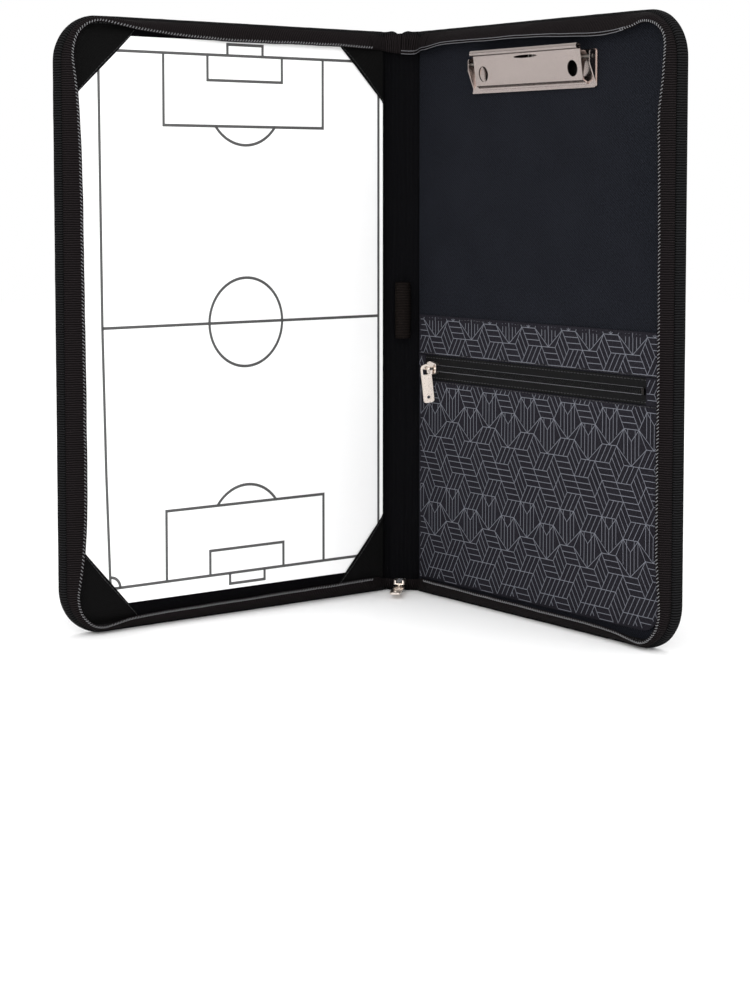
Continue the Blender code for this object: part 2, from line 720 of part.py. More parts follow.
def main_slider(parent):
    """End of the closed chain on the lower tail, and the main slider on it, facing the floor."""
    coil_foot = tail_line()[-1][1] + TAIL_THICKNESS / 2 + GAP
    across = SPINE_WIDTH / 2
    chain = oval(across, MAIN_SLIDER_UP, POCKET_COIL_WIDTH / 2, POCKET_COIL_HEIGHT / 2, 10)
    prism("main_zip_end", [chain], "z", coil_foot, coil_foot + MAIN_COIL_LENGTH, COIL, parent)
    seat = (across, MAIN_SLIDER_UP, coil_foot + GAP + SLIDER_LENGTH / 2)
    facing = Matrix(((0, -1, 0), (0, 0, -1), (1, 0, 0))).to_euler()
    carrier = frame("main_slider_frame", parent, seat, facing)
    zip_slider("main_zip_slider", carrier, NICKEL)
    # The puller lies flat under the slider with the front post of its arch through the window
    hinge = frame("main_puller_hinge", carrier, (ARCH_SPAN / 2 - ARCH_BAR / 2, 0, SLIDER_TOP + PULLER_LIFT))
    zip_puller("main_zip_puller", hinge, NICKEL)
    return hinge


def spring_line(pin_level, radius, slope):
    """Line of the torsion spring: a leg on the base, turns round the pin and a leg under the lever."""
    turn = 2 * SPRING_WIRE + SPRING_TURN_GAP
    start = CLIP_ACROSS - turn * SPRING_TURNS / 2
    # The upper leg lies where the plate comes down to when the handle is pressed
    pressed = slope - LEVER_PRESS
    first, last = -pi / 2, pi / 2 + pressed - 2 * pi * SPRING_TURNS
    points = [(start, PIN_UP + SPRING_LEG * share, pin_level - radius) for share in (1, 0.5)]
    count = 10 * SPRING_TURNS
    for k in range(count + 1):
        angle = first + (last - first) * k / count
        across = start + turn * SPRING_TURNS * k / count
        points.append((across, PIN_UP + radius * cos(angle), pin_level + radius * sin(angle)))
    end = Vector(points[-1])
    along = Vector((0, cos(pressed), sin(pressed)))
    points += [tuple(end + along * SPRING_LEG * share) for share in (0.25, 0.5)]
    return points


def board_clip(parent):
    """Sprung clip: base with ears, pin, lever with a rolled handle, torsion spring and two rivets."""
    base_top = ON_LINING + CLIP_METAL
    pin_level = base_top + PIN_ABOVE_BASE
    hole = PIN_RADIUS + PIN_CLEARANCE
    clip_base(base_top, pin_level, hole, parent)
    pin_half = EAR_INNER + CLIP_METAL + PIN_CLEARANCE
    pin_round = [circle(PIN_UP, pin_level, PIN_RADIUS, 16)]
    prism("clip_hinge_pin", pin_round, "x", CLIP_ACROSS - pin_half, CLIP_ACROSS + pin_half, SPRING_STEEL, parent)
    for n, (x, y) in enumerate(RIVETS):
        rivet(f"clip_rivet_{n + 1}", x, y, base_top, parent)
    hinge = frame("clip_lever_frame", parent, (CLIP_ACROSS, PIN_UP, pin_level))
    slope = clip_lever(hinge, hole, base_top - pin_level)
    line = spring_line(pin_level, hole + SPRING_WIRE, slope)
    tube("clip_spring", line, SPRING_WIRE, SPRING_STEEL, parent, sides=1)
    return hinge


def clip_base(base_top, pin_level, hole, parent):
    """Pressed base plate with a lip along its lower edge and an ear at each end for the pin."""
    half = EAR_INNER + CLIP_METAL + EAR_TO_EDGE
    low, high = CLIP_LOW, CLIP_LOW + CLIP_BASE_DEPTH
    plan = rounded(
        [
            (CLIP_ACROSS - half, low, CLIP_CORNER),
            (CLIP_ACROSS + half, low, CLIP_CORNER),
            (CLIP_ACROSS + half, high, CLIP_CORNER),
            (CLIP_ACROSS - half, high, CLIP_CORNER),
        ],
        steps=FINE_STEPS,
    )
    holes = [circle(x, y, RIVET_SHANK_RADIUS + GAP) for x, y in RIVETS]
    lip_top = base_top + CLIP_LIP
    bent = [
        (low - CLIP_METAL, ON_LINING),
        (high + CLIP_METAL, ON_LINING),
        (high + CLIP_METAL, base_top),
        (low + CLIP_METAL, base_top),
        (low + CLIP_METAL, lip_top),
        (low - CLIP_METAL, lip_top),
    ]
    past = half + CLIP_METAL
    base = as_mesh(prism("clip_base", [bent], "x", CLIP_ACROSS - past, CLIP_ACROSS + past, NICKEL, parent))
    tool = prism("clip_base_plan", [plan, *holes], "z", ON_LINING - CLIP_METAL, lip_top + CLIP_METAL, NICKEL, parent)
    combine(base, as_mesh(tool), "INTERSECT")
    middle = base_top - CLIP_METAL / 2
    top = pin_level + EAR_TOP
    ear = rounded(
        [
            (low + CLIP_METAL * 1.5, middle, 0),
            (high - CLIP_METAL, middle, 0),
            (PIN_UP + EAR_TOP * 1.6, top, EAR_TOP * 0.75),
            (PIN_UP - EAR_TOP * 1.6, top, EAR_TOP * 0.75),
        ],
        steps=FINE_STEPS,
    )
    for n, side in enumerate((-1, 1)):
        inner, outer = CLIP_ACROSS + side * EAR_INNER, CLIP_ACROSS + side * (EAR_INNER + CLIP_METAL)
        wall = [ear, circle(PIN_UP, pin_level, hole, 12)]
        piece = prism(f"clip_ear_{n}", wall, "x", min(inner, outer), max(inner, outer), NICKEL, parent)
        combine(base, as_mesh(piece), "UNION")


def rivet(name, x, y, base_top, parent):
    """A turned rivet: domed head on the base, shank through the lining and stiffener, clinched end."""
    head_low = base_top + GAP
    clinch_top = STIFFENER_LEVEL - GAP
    clinch_low = PADDING_LEVEL + GAP
    profile = [
        (0, head_low + RIVET_HEAD_HEIGHT),
        (RIVET_HEAD_RADIUS * 0.7, head_low + RIVET_HEAD_HEIGHT * 0.85),
        (RIVET_HEAD_RADIUS, head_low + RIVET_HEAD_HEIGHT * 0.3),
        (RIVET_HEAD_RADIUS, head_low),
        (RIVET_SHANK_RADIUS, head_low),
        (RIVET_SHANK_RADIUS, clinch_top),
        (RIVET_HEAD_RADIUS, clinch_top),
        (RIVET_HEAD_RADIUS, clinch_low),
        (0, clinch_low),
    ]
    data = bpy.data.meshes.new(name)
    data.from_pydata([(r, 0, z) for r, z in profile], [(k, k + 1) for k in range(len(profile) - 1)], [])
    item = bpy.data.objects.new(name, data)
    PARTS.objects.link(item)
    item.location = (x, y, 0)
    screw = item.modifiers.new("turned", "SCREW")
    screw.steps = screw.render_steps = 16
    screw.use_merge_vertices = True
    screw.merge_threshold = 1e-5
    finish(item, NICKEL, parent)


def clip_lever(hinge, hole, base_top):
    """The lever about its pin at the origin: jaw below, plate over the pin, rolled handle above."""
    foot = base_top + CLIP_METAL / 2 + GAP
    jaw, heel = (-JAW_TIP, foot), (-JAW_TIP + JAW_FOOT, foot)
    bend, crease = (-PLATE_LOW, PLATE_LOW_RISE), (PLATE_HIGH, PLATE_HIGH_RISE)
    lip = Vector((HANDLE_END, HANDLE_RISE))
    run = (lip - Vector(crease)).normalized()
    centre = lip + Vector((-run.y, run.x)) * ROLL_RADIUS
    start = atan2(lip.y - centre.y, lip.x - centre.x)
    turns = [start + ROLL_CURL * k / 12 for k in range(1, 13)]
    roll = [(centre.x + ROLL_RADIUS * cos(turn), centre.y + ROLL_RADIUS * sin(turn)) for turn in turns]
    sheet = strip([jaw, heel, bend, crease, lip, *roll], CLIP_METAL)
    half = LEVER_WIDTH / 2
    lever = as_mesh(prism("clip_lever", [sheet], "x", -half, half, NICKEL, hinge))

    slope = atan2(crease[1] - bend[1], crease[0] - bend[0])
    under = CLIP_METAL * 0.4
    flange = rounded(
        [
            (bend[0] * 0.8, bend[1] + (bend[0] * 0.8 - bend[0]) * tan(slope) - under, 0),
            (crease[0] * 0.7, crease[1] + (crease[0] * 0.7 - crease[0]) * tan(slope) - under, 0),
            (FLANGE_HALF, 0, FLANGE_HALF / 3),
            (0, -FLANGE_DROP, FLANGE_HALF / 2),
            (-FLANGE_HALF, 0, FLANGE_HALF / 3),
        ],
        steps=FINE_STEPS,
    )
    for n, side in enumerate((-1, 1)):
        outer, inner = side * half, side * (half - CLIP_METAL)
        wall = [flange, circle(0, 0, hole, 12)]
        piece = prism(f"clip_flange_{n}", wall, "x", min(outer, inner), max(outer, inner), NICKEL, hinge)
        combine(lever, as_mesh(piece), "UNION")
        access = oval(side * RIVET_HALF, RIVET_UP + GAP * 5 - PIN_UP, ACCESS_ACROSS, ACCESS_ALONG)
        tool = prism(f"clip_access_{n}", [access], "z", -PLATE_LOW_RISE, 2 * HANDLE_RISE, NICKEL, hinge)
        combine(lever, as_mesh(tool), "DIFFERENCE")
    notch = oval(0, PLATE_HIGH / 2, NOTCH_HALF, NOTCH_DEPTH)
    cut = prism("clip_notch", [notch], "z", PLATE_LOW_RISE, 2 * HANDLE_RISE, NICKEL, hinge)
    combine(lever, as_mesh(cut), "DIFFERENCE")
    return slope


def panel_frame(name, parent, axis_x, axis_y, turn, across=0.0):
    """A panel's frame, set so that its fold axis, at this place across it, stands on the given point."""
    facing = Matrix.Rotation(turn, 3, "Z") @ Matrix.Rotation(pi / 2, 3, "X")
    offset = facing @ Vector((across, 0, FOLD_LEVEL))
    return frame(name, parent, (axis_x - offset.x, axis_y - offset.y, 0), facing.to_euler())


def centre_on_footprint(root):
    """Moves the folder so that the middle of its footprint is on the origin."""
    bpy.context.view_layer.update()
    graph = bpy.context.evaluated_depsgraph_get()
    xs, ys = [], []
    for item in PARTS.objects:
        if item.type == "EMPTY":
            continue
        shape = item.evaluated_get(graph)
        data = shape.to_mesh()
        for vertex in data.vertices:
            place = shape.matrix_world @ vertex.co
            xs.append(place.x)
            ys.append(place.y)
        shape.to_mesh_clear()
    root.location = (-(min(xs) + max(xs)) / 2, -(min(ys) + max(ys)) / 2, 0)
    bpy.context.view_layer.update()


def main():
    root = frame("folder_frame", None)
    back_axis = Vector((SPINE_WIDTH * cos(SPINE_TURN), SPINE_WIDTH * sin(SPINE_TURN)))
    front = panel_frame("front_cover_frame", root, 0, 0, FRONT_TURN)
    middle = panel_frame("spine_frame", root, 0, 0, SPINE_TURN)
    back = panel_frame("back_cover_frame", root, back_axis.x, back_axis.y, BACK_TURN)

    cover("front", -1, front, [])
    cover("back", 1, back, RIVETS)
    spine(middle)
    tactics_board(front)
    front_outside(front)
    pocket_post = zip_pocket(back)
    clip_hinge = board_clip(back)
    main_post = main_slider(middle)
    centre_on_footprint(root)

    for item in PARTS.objects:
        if item.type == "MESH" and item.name.startswith(("clip_", "pocket_zip_slider", "main_zip_slider")):
            smooth(item)
    front_axis = root.matrix_world @ Vector((0, 0, 0))
    back_axis = root.matrix_world @ Vector((back_axis.x, back_axis.y, 0))
    for name, place in (("front fold", front_axis), ("back fold", back_axis)):
        print(name, [round(v, 5) for v in place])
    for joint in (clip_hinge, pocket_post, main_post):
        world = joint.matrix_world
        print(joint.name, [round(v, 5) for v in world.translation], "x", [round(v, 5) for v in world.col[0][:3]])
        print(joint.name, "y", [round(v, 5) for v in world.col[1][:3]], "z", [round(v, 5) for v in world.col[2][:3]])


main()
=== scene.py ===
"""Zip-round tactics folder, standing open like a book, dressed in cloth, board film and nickel.

Sizes are in millimetres in each panel's own frame: across from the fold, up from the floor, and out
from the cover's outermost face towards the inside of the folder. Meshes are in metres.
"""

import json
from itertools import accumulate
from math import ceil, cos, exp, hypot, pi, radians, sin, sqrt

import bmesh
import bpy
from mathutils import Euler, Matrix, Vector, noise


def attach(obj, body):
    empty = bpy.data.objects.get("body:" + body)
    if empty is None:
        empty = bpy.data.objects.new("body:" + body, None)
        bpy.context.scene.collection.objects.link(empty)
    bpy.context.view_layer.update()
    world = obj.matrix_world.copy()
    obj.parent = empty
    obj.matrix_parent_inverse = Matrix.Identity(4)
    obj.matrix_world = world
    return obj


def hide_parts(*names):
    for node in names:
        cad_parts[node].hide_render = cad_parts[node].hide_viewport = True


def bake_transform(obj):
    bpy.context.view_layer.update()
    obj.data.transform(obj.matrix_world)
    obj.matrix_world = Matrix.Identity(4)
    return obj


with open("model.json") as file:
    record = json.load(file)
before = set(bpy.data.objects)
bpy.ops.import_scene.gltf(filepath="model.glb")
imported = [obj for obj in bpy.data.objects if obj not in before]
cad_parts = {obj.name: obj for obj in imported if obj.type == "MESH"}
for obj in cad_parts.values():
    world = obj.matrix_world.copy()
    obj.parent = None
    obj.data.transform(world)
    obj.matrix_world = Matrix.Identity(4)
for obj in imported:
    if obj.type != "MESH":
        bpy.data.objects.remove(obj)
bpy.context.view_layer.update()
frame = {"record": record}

COVER_WIDTH, HEIGHT, CORNER, SPINE = 235.0, 350.0, 27.0, 24.0
SIDE = {"front": -1, "back": 1, "spine": 1}
BODY = {"front": "front_cover", "back": "back_cover", "spine": "spine"}
# The level of the folds' lines, and how far from a fold the binding and the gusset start
FOLD_LEVEL, BINDING_START, GUSSET_START = 1.8, 4.0, 16.5
# Spacing of the teeth of the main zip and of the pocket's, and the steps in one turn of a coil
MAIN_PITCH, POCKET_PITCH, COIL_STEPS = 2.0, 1.4, 9


def panel(joint, turn):
    """Turns a panel's millimetres into its place in the standing folder, in metres."""
    fold = next(j["pos_m"] for j in frame["record"]["behaviour"]["joints"] if j["name"] == joint)
    across, inward = Vector((cos(turn), sin(turn), 0)), Vector((sin(turn), -cos(turn), 0))
    corner = Vector((fold[0], fold[1], 0)) - inward * (FOLD_LEVEL / 1000)
    columns = [across * 0.001, Vector((0, 0, 0.001)), inward * 0.001, corner]
    return Matrix([[*[column[i] for column in columns]] for i in range(3)] + [[0, 0, 0, 1]])


PANEL = {
    "front": panel("front_fold", radians(38.6)),
    "spine": panel("front_fold", radians(-7.7)),
    "back": panel("back_fold", radians(-54.0)),
}


def at(side, across, up, out):
    return PANEL[side] @ Vector((SIDE[side] * across, up, out))


def facing(side):
    return PANEL[side].col[2].to_3d().normalized()


def add(name, data):
    """A new object for a mesh, a lamp or a camera, in the scene."""
    obj = bpy.data.objects.new(name, data)
    bpy.context.scene.collection.objects.link(obj)
    return obj


def set_camera():
    data = bpy.data.cameras.new("camera")
    data.lens, data.sensor_width, data.shift_y = 77.515, 36, -0.15
    camera = add("camera", data)
    camera.location = (0.00942, -1.25461, 0.25402)
    camera.rotation_euler = Euler((pi / 2 - radians(4.328), 0, radians(0.167)))
    bpy.context.scene.camera = camera


set_camera()


def linear(code):
    """An sRGB hex colour as the linear values a shader takes."""
    values = [int(code[i : i + 2], 16) / 255 for i in (0, 2, 4)]
    return (*[v / 12.92 if v <= 0.04045 else ((v + 0.055) / 1.055) ** 2.4 for v in values], 1)


def node(tree, kind, inputs=(), **settings):
    """Adds a node with its settings, its values and the links into it. A node stands for its first output."""
    made = tree.nodes.new("ShaderNode" + kind)
    for key, value in settings.items():
        setattr(made, key, value)
    for key, value in dict(inputs).items():
        value = value.outputs[0] if isinstance(value, bpy.types.Node) else value
        if isinstance(value, bpy.types.NodeSocket):
            tree.links.new(value, made.inputs[key])
        else:
            made.inputs[key].default_value = value
    return made


def maths(tree, operation, *values):
    return node(tree, "Math", dict(enumerate(values)), operation=operation)


def finish_named(name, slot, **values):
    """A material with its shader's even values set, and the name of its slot in the record."""
    made = bpy.data.materials.new(name)
    made.use_nodes = True
    made["slot"] = slot
    shader = made.node_tree.nodes["Principled BSDF"]
    for key, value in values.items():
        shader.inputs[key.replace("_", " ")].default_value = value
    return made, made.node_tree, shader


def painted(tree, shader, share, dark, light, height, depth, distance):
    """Mixes two tones by the share of the light one, and raises the surface by the height."""
    shade = node(tree, "Mix", {0: share, 6: linear(dark), 7: linear(light)}, data_type="RGBA")
    bump = node(tree, "Bump", {"Height": height, "Strength": depth, "Distance": distance})
    tree.links.new(shade.outputs[2], shader.inputs["Base Color"])
    tree.links.new(bump.outputs[0], shader.inputs["Normal"])


def woven(name, slot, dark, light, pitch, turn, depth, roughness, slub, gloss, sheen=0.0):
    """Plain weave on a piece's own UV map: threads stand up where they pass over each other.

    Pitch is the spacing of the threads in millimetres, and slub is how much their unevenness shows.
    """
    made, tree, shader = finish_named(
        name, slot, Roughness=roughness, Specular_IOR_Level=gloss,
        Sheen_Weight=sheen, Sheen_Roughness=0.45, Sheen_Tint=(0.8, 0.85, 1, 1),
    )
    laid = node(tree, "Mapping", {"Vector": node(tree, "UVMap"), "Rotation": (0, 0, turn)})
    threads = node(tree, "VectorMath", {0: laid, 1: (pi / pitch,) * 3}, operation="MULTIPLY")
    parts = node(tree, "SeparateXYZ", {0: threads})
    over = maths(tree, "MULTIPLY", maths(tree, "SINE", parts), maths(tree, "SINE", parts.outputs[1]))
    height = node(tree, "MapRange", {0: over, 1: -1.0, 2: 1.0, 3: 0.0, 4: 1.0})
    slubs = node(tree, "TexNoise", {"Vector": laid, "Scale": 0.9, "Detail": 5.0, "Roughness": 0.7})
    uneven = node(tree, "MapRange", {0: slubs, 1: 0.3, 2: 0.7, 3: -slub, 4: slub})
    cloud = node(tree, "TexNoise", {"Vector": laid, "Scale": 0.035, "Detail": 3.0})
    faded = node(tree, "MapRange", {0: cloud, 1: 0.3, 2: 0.7, 3: -0.06, 4: 0.06})
    # The tone mixes real unevenness, the slub and the faded cloud, with painted light: the weave's height
    # paints the thread crowns lighter and the gaps between them darker
    tone_and_painted_crown_light = maths(tree, "ADD", faded, maths(tree, "ADD", uneven, height))
    painted(tree, shader, tone_and_painted_crown_light, dark, light, height, depth, 0.00012)
    return made


def ribbed(name, slot, dark, light, pitch, depth, roughness, gloss=0.03, sheen=0.0):
    """Ribs across a tape: UV x runs along it, in millimetres, and the ribs stand every pitch."""
    made, tree, shader = finish_named(
        name, slot, Roughness=roughness, Specular_IOR_Level=gloss, Sheen_Weight=sheen, Sheen_Roughness=0.5
    )
    uv = node(tree, "UVMap")
    wander = node(tree, "TexNoise", {"Vector": uv, "Scale": 0.25, "Detail": 2.0})
    run = maths(tree, "MULTIPLY_ADD", wander, pitch * 0.5, node(tree, "SeparateXYZ", {0: uv}))
    wave = maths(tree, "SINE", maths(tree, "MULTIPLY", run, pi / pitch))
    rib = maths(tree, "MULTIPLY", wave, wave)
    fibres = node(tree, "TexNoise", {"Vector": uv, "Scale": 3.0, "Detail": 4.0, "Roughness": 0.7})
    height = maths(tree, "MULTIPLY_ADD", fibres, 0.35, rib)
    spun = node(tree, "MapRange", {0: fibres, 1: 0.3, 2: 0.7, 3: 0.65, 4: 1.1})
    # The tone follows the rib: its crest is painted lighter and its trough darker, a painted highlight and
    # shade, and the fibre noise adds real unevenness
    painted(tree, shader, maths(tree, "MULTIPLY", rib, spun), dark, light, height, depth, 0.0003)
    return made


def smooth_finish(name, slot, colour, roughness, grain, depth, **values):
    """A moulded, coated or plated finish with a fine unevenness of the given grain in millimetres."""
    made, tree, shader = finish_named(name, slot, Base_Color=linear(colour), **values)
    place = node(tree, "TexCoord").outputs["Object"]
    speck = node(tree, "TexNoise", {"Vector": place, "Scale": 1000 / grain, "Detail": 3.0})
    rough = node(tree, "MapRange", {0: speck, 3: roughness * 0.75, 4: roughness * 1.3})
    bump = node(tree, "Bump", {"Height": speck, "Strength": depth, "Distance": 0.00005})
    tree.links.new(rough.outputs[0], shader.inputs["Roughness"])
    tree.links.new(bump.outputs[0], shader.inputs["Normal"])
    return made


# 600 denier polyester in plain weave: matt charcoal, its thread crowns painted grey as a painted highlight
#                                      and the gaps painted darker. Its threads
# are 0.5 mm apart, finer than a picture of the whole folder can show, so the weave is drawn wider
CANVAS = woven(
    "polyester_600_denier", "cover_fabric", "08080B", "35353C", 1.15, radians(45), 0.9, 0.85, 0.6, 0.05,
    sheen=0.01,
)
# A finer black cloth for the corner pockets, flat and nearly without a shine
POCKET_CLOTH = woven(
    "pocket_cloth", "cover_fabric", "060606", "101010", 0.9, radians(45), 0.4, 0.9, 0.5, 0.03
)
# Polyester lining over the pad: blue-grey, with a fine even grain instead of a pattern
LINING = woven("pad_lining", "lining", "08090C", "1F2127", 0.8, radians(12), 0.3, 0.9, 0.5, 0.03)
# The soft black lining of the spine, which shows only its folds, and of the cover under the board
SPINE_LINING = woven("spine_lining", "lining", "040405", "0B0B0D", 0.62, 0.0, 0.3, 0.9, 0.5, 0.03)
# Printed lining of the pocket, warmer and smoother than the pad
PRINTED = woven("printed_lining", "printed_lining", "151419", "232227", 0.62, 0.0, 0.3, 0.85, 0.8, 0.04)
# The smooth satin tape of the pocket's zip
SATIN_TAPE = woven("satin_zip_tape", "zip_tape", "080808", "0F0F10", 0.62, 0.0, 0.15, 0.7, 0.4, 0.08)
# Polyester zip tape, nearly black, with a coarse rib across it, drawn wide enough to be seen
ZIP_TAPE = ribbed("zip_tape_cloth", "zip_tape", "040303", "201C1D", 1.3, 1.0, 0.8)
# Grosgrain binding: its ribs across the tape catch the light one by one, painted as lighter crests and darker
# troughs
BINDING = ribbed("grosgrain_binding", "binding", "020202", "212122", 1.4, 1.4, 0.8)
# Jacquard webbing of the band on the cover, slightly shiny along its ribs
WEBBING = ribbed("jacquard_webbing", "webbing", "121013", "332F34", 0.8, 0.8, 0.65, gloss=0.06, sheen=0.01)
# Ribbed elastic of the pen loop: brown-black, with fine ribs round it
ELASTIC = ribbed("ribbed_elastic", "elastic", "050404", "1E1917", 1.0, 1.0, 0.85)
# Polyester sewing thread: round, a little glossy
THREAD = smooth_finish("sewing_thread", "binding", "121214", 0.6, 0.3, 0.4)
# Painted highlight: pale thin wires along the zip tapes' edges, standing in for the light that those edges
# catch as thin lines
EDGE_HIGHLIGHT = smooth_finish("painted_zip_edge_highlight", "zip_tape", "5C5C60", 0.5, 0.4, 0.4)
# Nylon zip coil: a grey lighter than the dark coil itself, a painted glint, so that its crowns glint one by
# one
COIL = smooth_finish("nylon_coil", "zip_coil", "606062", 0.25, 0.6, 0.2)
# The pocket's coil is a plain black one
BLACK_COIL = smooth_finish("black_nylon_coil", "zip_coil", "0E0E0F", 0.5, 0.6, 0.2, Specular_IOR_Level=0.15)
# Dry-wipe film on the board: hard, white and glossy
BOARD_FILM = smooth_finish("dry_wipe_film", "board_film", "F6F6F6", 0.22, 4.0, 0.05, Coat_Weight=0.3)
# Grey screen print of the pitch
PITCH_INK = smooth_finish("screen_print_grey", "board_film", "464646", 0.5, 0.5, 0.1)
# Pigment print on the lining
LINE_INK = smooth_finish("pigment_print", "printed_lining", "5E6068", 0.85, 0.4, 0.4)
# Raised yarn of the band's woven motif
MOTIF_YARN = smooth_finish("motif_yarn", "webbing", "4A4A50", 0.6, 0.5, 0.5)
# Bright nickel plate on pressed steel: warm grey mirror with faint orange peel
NICKEL = smooth_finish("bright_nickel", "nickel", "978D89", 0.22, 1.5, 0.06, Metallic=1.0)
# The die-cast zip sliders and pullers: the same plate on a tumbled, softer surface
CAST_NICKEL = smooth_finish("tumbled_nickel", "nickel", "DDD2C9", 0.28, 0.8, 0.3, Metallic=1.0)
# Drawn spring wire: darker and rougher than the plate
SPRING_WIRE = smooth_finish("spring_wire", "spring_steel", "7C7A76", 0.35, 0.3, 0.3, Metallic=1.0)
# Blackened steel for the pocket zip's stops. On the clip's rivets the same dark stands for painted shade in
# the plate's holes
BLACKENED_AND_HOLE_SHADE = smooth_finish("blackened_steel_and_painted_hole_shade", "nickel", "2C2A29", 0.4, 0.5, 0.3, Metallic=1.0)
# Heat-pressed transfer film of the round badge
BADGE_BLUE = smooth_finish("transfer_blue", "badge", "0A6CB4", 0.45, 0.5, 0.2)
BADGE_YELLOW = smooth_finish("transfer_yellow", "badge", "D6E019", 0.45, 0.5, 0.2)
BADGE_WHITE = smooth_finish("transfer_white", "badge", "F2F2F2", 0.45, 0.5, 0.2)
# Fibreboard inside the covers, out of sight
FIBREBOARD = smooth_finish("fibreboard", "stiffener", "8A7350", 0.9, 0.6, 0.6)
# Matt white studio paper
PAPER = smooth_finish("studio_paper", "binding", "FFFFFF", 0.9, 3.0, 0.05)


def coat(obj, look):
    obj.data.materials.clear()
    obj.data.materials.append(look)


def keep(obj, look, body=None, replaces=()):
    """Gives a finished piece its material and slot, and its body if it rides on only one."""
    coat(obj, look)
    if body:
        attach(obj, body)
    if replaces:
        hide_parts(*replaces)
    return obj


def built(name, verts, faces):
    data = bpy.data.meshes.new(name)
    data.from_pydata(verts, [], faces)
    return add(name, data)


def span(line):
    return sum((a - b).length for a, b in zip(line, line[1:]))


def lay(name, rows, ring=False):
    """A mesh through rows of points, with a UV map in millimetres along the rows and across them."""
    deep, wide = len(rows), len(rows[0])
    gaps = (sum((a - b).length for a, b in zip(last, row)) / wide * 1000 for last, row in zip(rows, rows[1:]))
    along, across = list(accumulate(gaps, initial=0.0)), []
    for row in rows:
        steps = ((a - b).length * 1000 for a, b in zip(row, row[1:] + row[:1]))
        across.append(list(accumulate(steps, initial=0.0)))
    faces, uvs = [], []
    for r in range(deep - 1):
        for c in range(wide if ring else wide - 1):
            n = (c + 1) % wide
            faces.append((r * wide + c, r * wide + n, (r + 1) * wide + n, (r + 1) * wide + c))
            uvs += [(along[i], across[i][j]) for i, j in ((r, c), (r, c + 1), (r + 1, c + 1), (r + 1, c))]
    for r in (0, deep - 1) if ring else ():
        faces.append(tuple(r * wide + c for c in range(wide)))
        uvs += [(along[r], across[r][c]) for c in range(wide)]
    obj = built(name, [p for row in rows for p in row], faces)
    layer = obj.data.uv_layers.new(name="UVMap")
    for corner, uv in zip(layer.data, uvs):
        corner.uv = uv
    if ring:
        settle(obj.data)
    obj.data.shade_smooth()
    return obj


def settle(data, merge=0.0):
    """Turns a closed mesh's faces outward, with its points merged where they lie this close."""
    shape = bmesh.new()
    shape.from_mesh(data)
    if merge:
        bmesh.ops.remove_doubles(shape, verts=shape.verts, dist=merge)
    bmesh.ops.recalc_face_normals(shape, faces=shape.faces)
    shape.to_mesh(data)
    shape.free()


def apply_all(obj):
    """Makes an object the chosen one and applies its modifiers."""
    bpy.ops.object.select_all(action="DESELECT")
    obj.select_set(True)
    bpy.context.view_layer.objects.active = obj
    for change in list(obj.modifiers):
        bpy.ops.object.modifier_apply(modifier=change.name)


def cloth(name, rows, thick, towards):
    """A sheet whose seen face passes through the rows and looks the given way, with its thickness behind."""
    obj = lay(name, rows)
    if sum(p.normal.dot(towards) * p.area for p in obj.data.polygons) < 0:
        obj.data.flip_normals()
    wall = obj.modifiers.new("thickness", "SOLIDIFY")
    wall.thickness, wall.offset = thick / 1000, -1
    apply_all(obj)
    obj.data.shade_smooth()
    obj.data.set_sharp_from_angle(angle=radians(50))
    return obj


def cut_to(rows, rests_on=(), rounded=False):
    """Works out the width, length and area of the flat piece that a sheet's rows were cut from, and leaves
    them unused.
    """
    spans, lengths, area = [span(row) for row in rows], [span(line) for line in zip(*rows)], 0.0
    for low, high in zip(rows, rows[1:]):
        for c in range(len(low) - 1):
            area += ((high[c + 1] - low[c]).cross(high[c] - low[c + 1])).length / 2
    # A seam allowance brings the narrowest tapes to at least 10 mm
    wide, long = max(*spans, 0.01), lengths[0] if rounded else max(*lengths, 0.01)
    list(rests_on)
    min(area, wide * long)


def wire(name, points, radius, sides=6):
    """A round wire through the points, closed at both ends."""
    rows, side, turns = [], None, [2 * pi * k / sides for k in range(sides)]
    for i, here in enumerate(points):
        ahead = (points[min(i + 1, len(points) - 1)] - points[max(i - 1, 0)]).normalized()
        side = ahead.orthogonal() if side is None else side - ahead * side.dot(ahead)
        side.normalize()
        up = ahead.cross(side)
        rows.append([here + (side * cos(turn) + up * sin(turn)) * radius for turn in turns])
    return lay(name, rows, ring=True)


def dressed(name, cad, look, body, bevel):
    """A copy of a CAD node with its loose triangles merged and its edges broken, in the node's place."""
    data = bpy.data.objects[cad].data.copy()
    data.name = name
    shape = bmesh.new()
    shape.from_mesh(data)
    bmesh.ops.remove_doubles(shape, verts=shape.verts, dist=2e-6)
    bmesh.ops.dissolve_limit(shape, angle_limit=radians(2), verts=shape.verts, edges=shape.edges)
    shape.to_mesh(data)
    shape.free()
    obj = add(name, data)
    if bevel:
        edge = obj.modifiers.new("broken edge", "BEVEL")
        edge.width, edge.segments, edge.limit_method, edge.angle_limit = bevel / 1000, 2, "ANGLE", radians(30)
    apply_all(obj)
    bpy.ops.object.shade_smooth_by_angle(angle=radians(35))
    obj.modifiers.new("flat faces stay flat", "WEIGHTED_NORMAL").keep_sharp = True
    apply_all(obj)
    keep(obj, look, body, [cad])


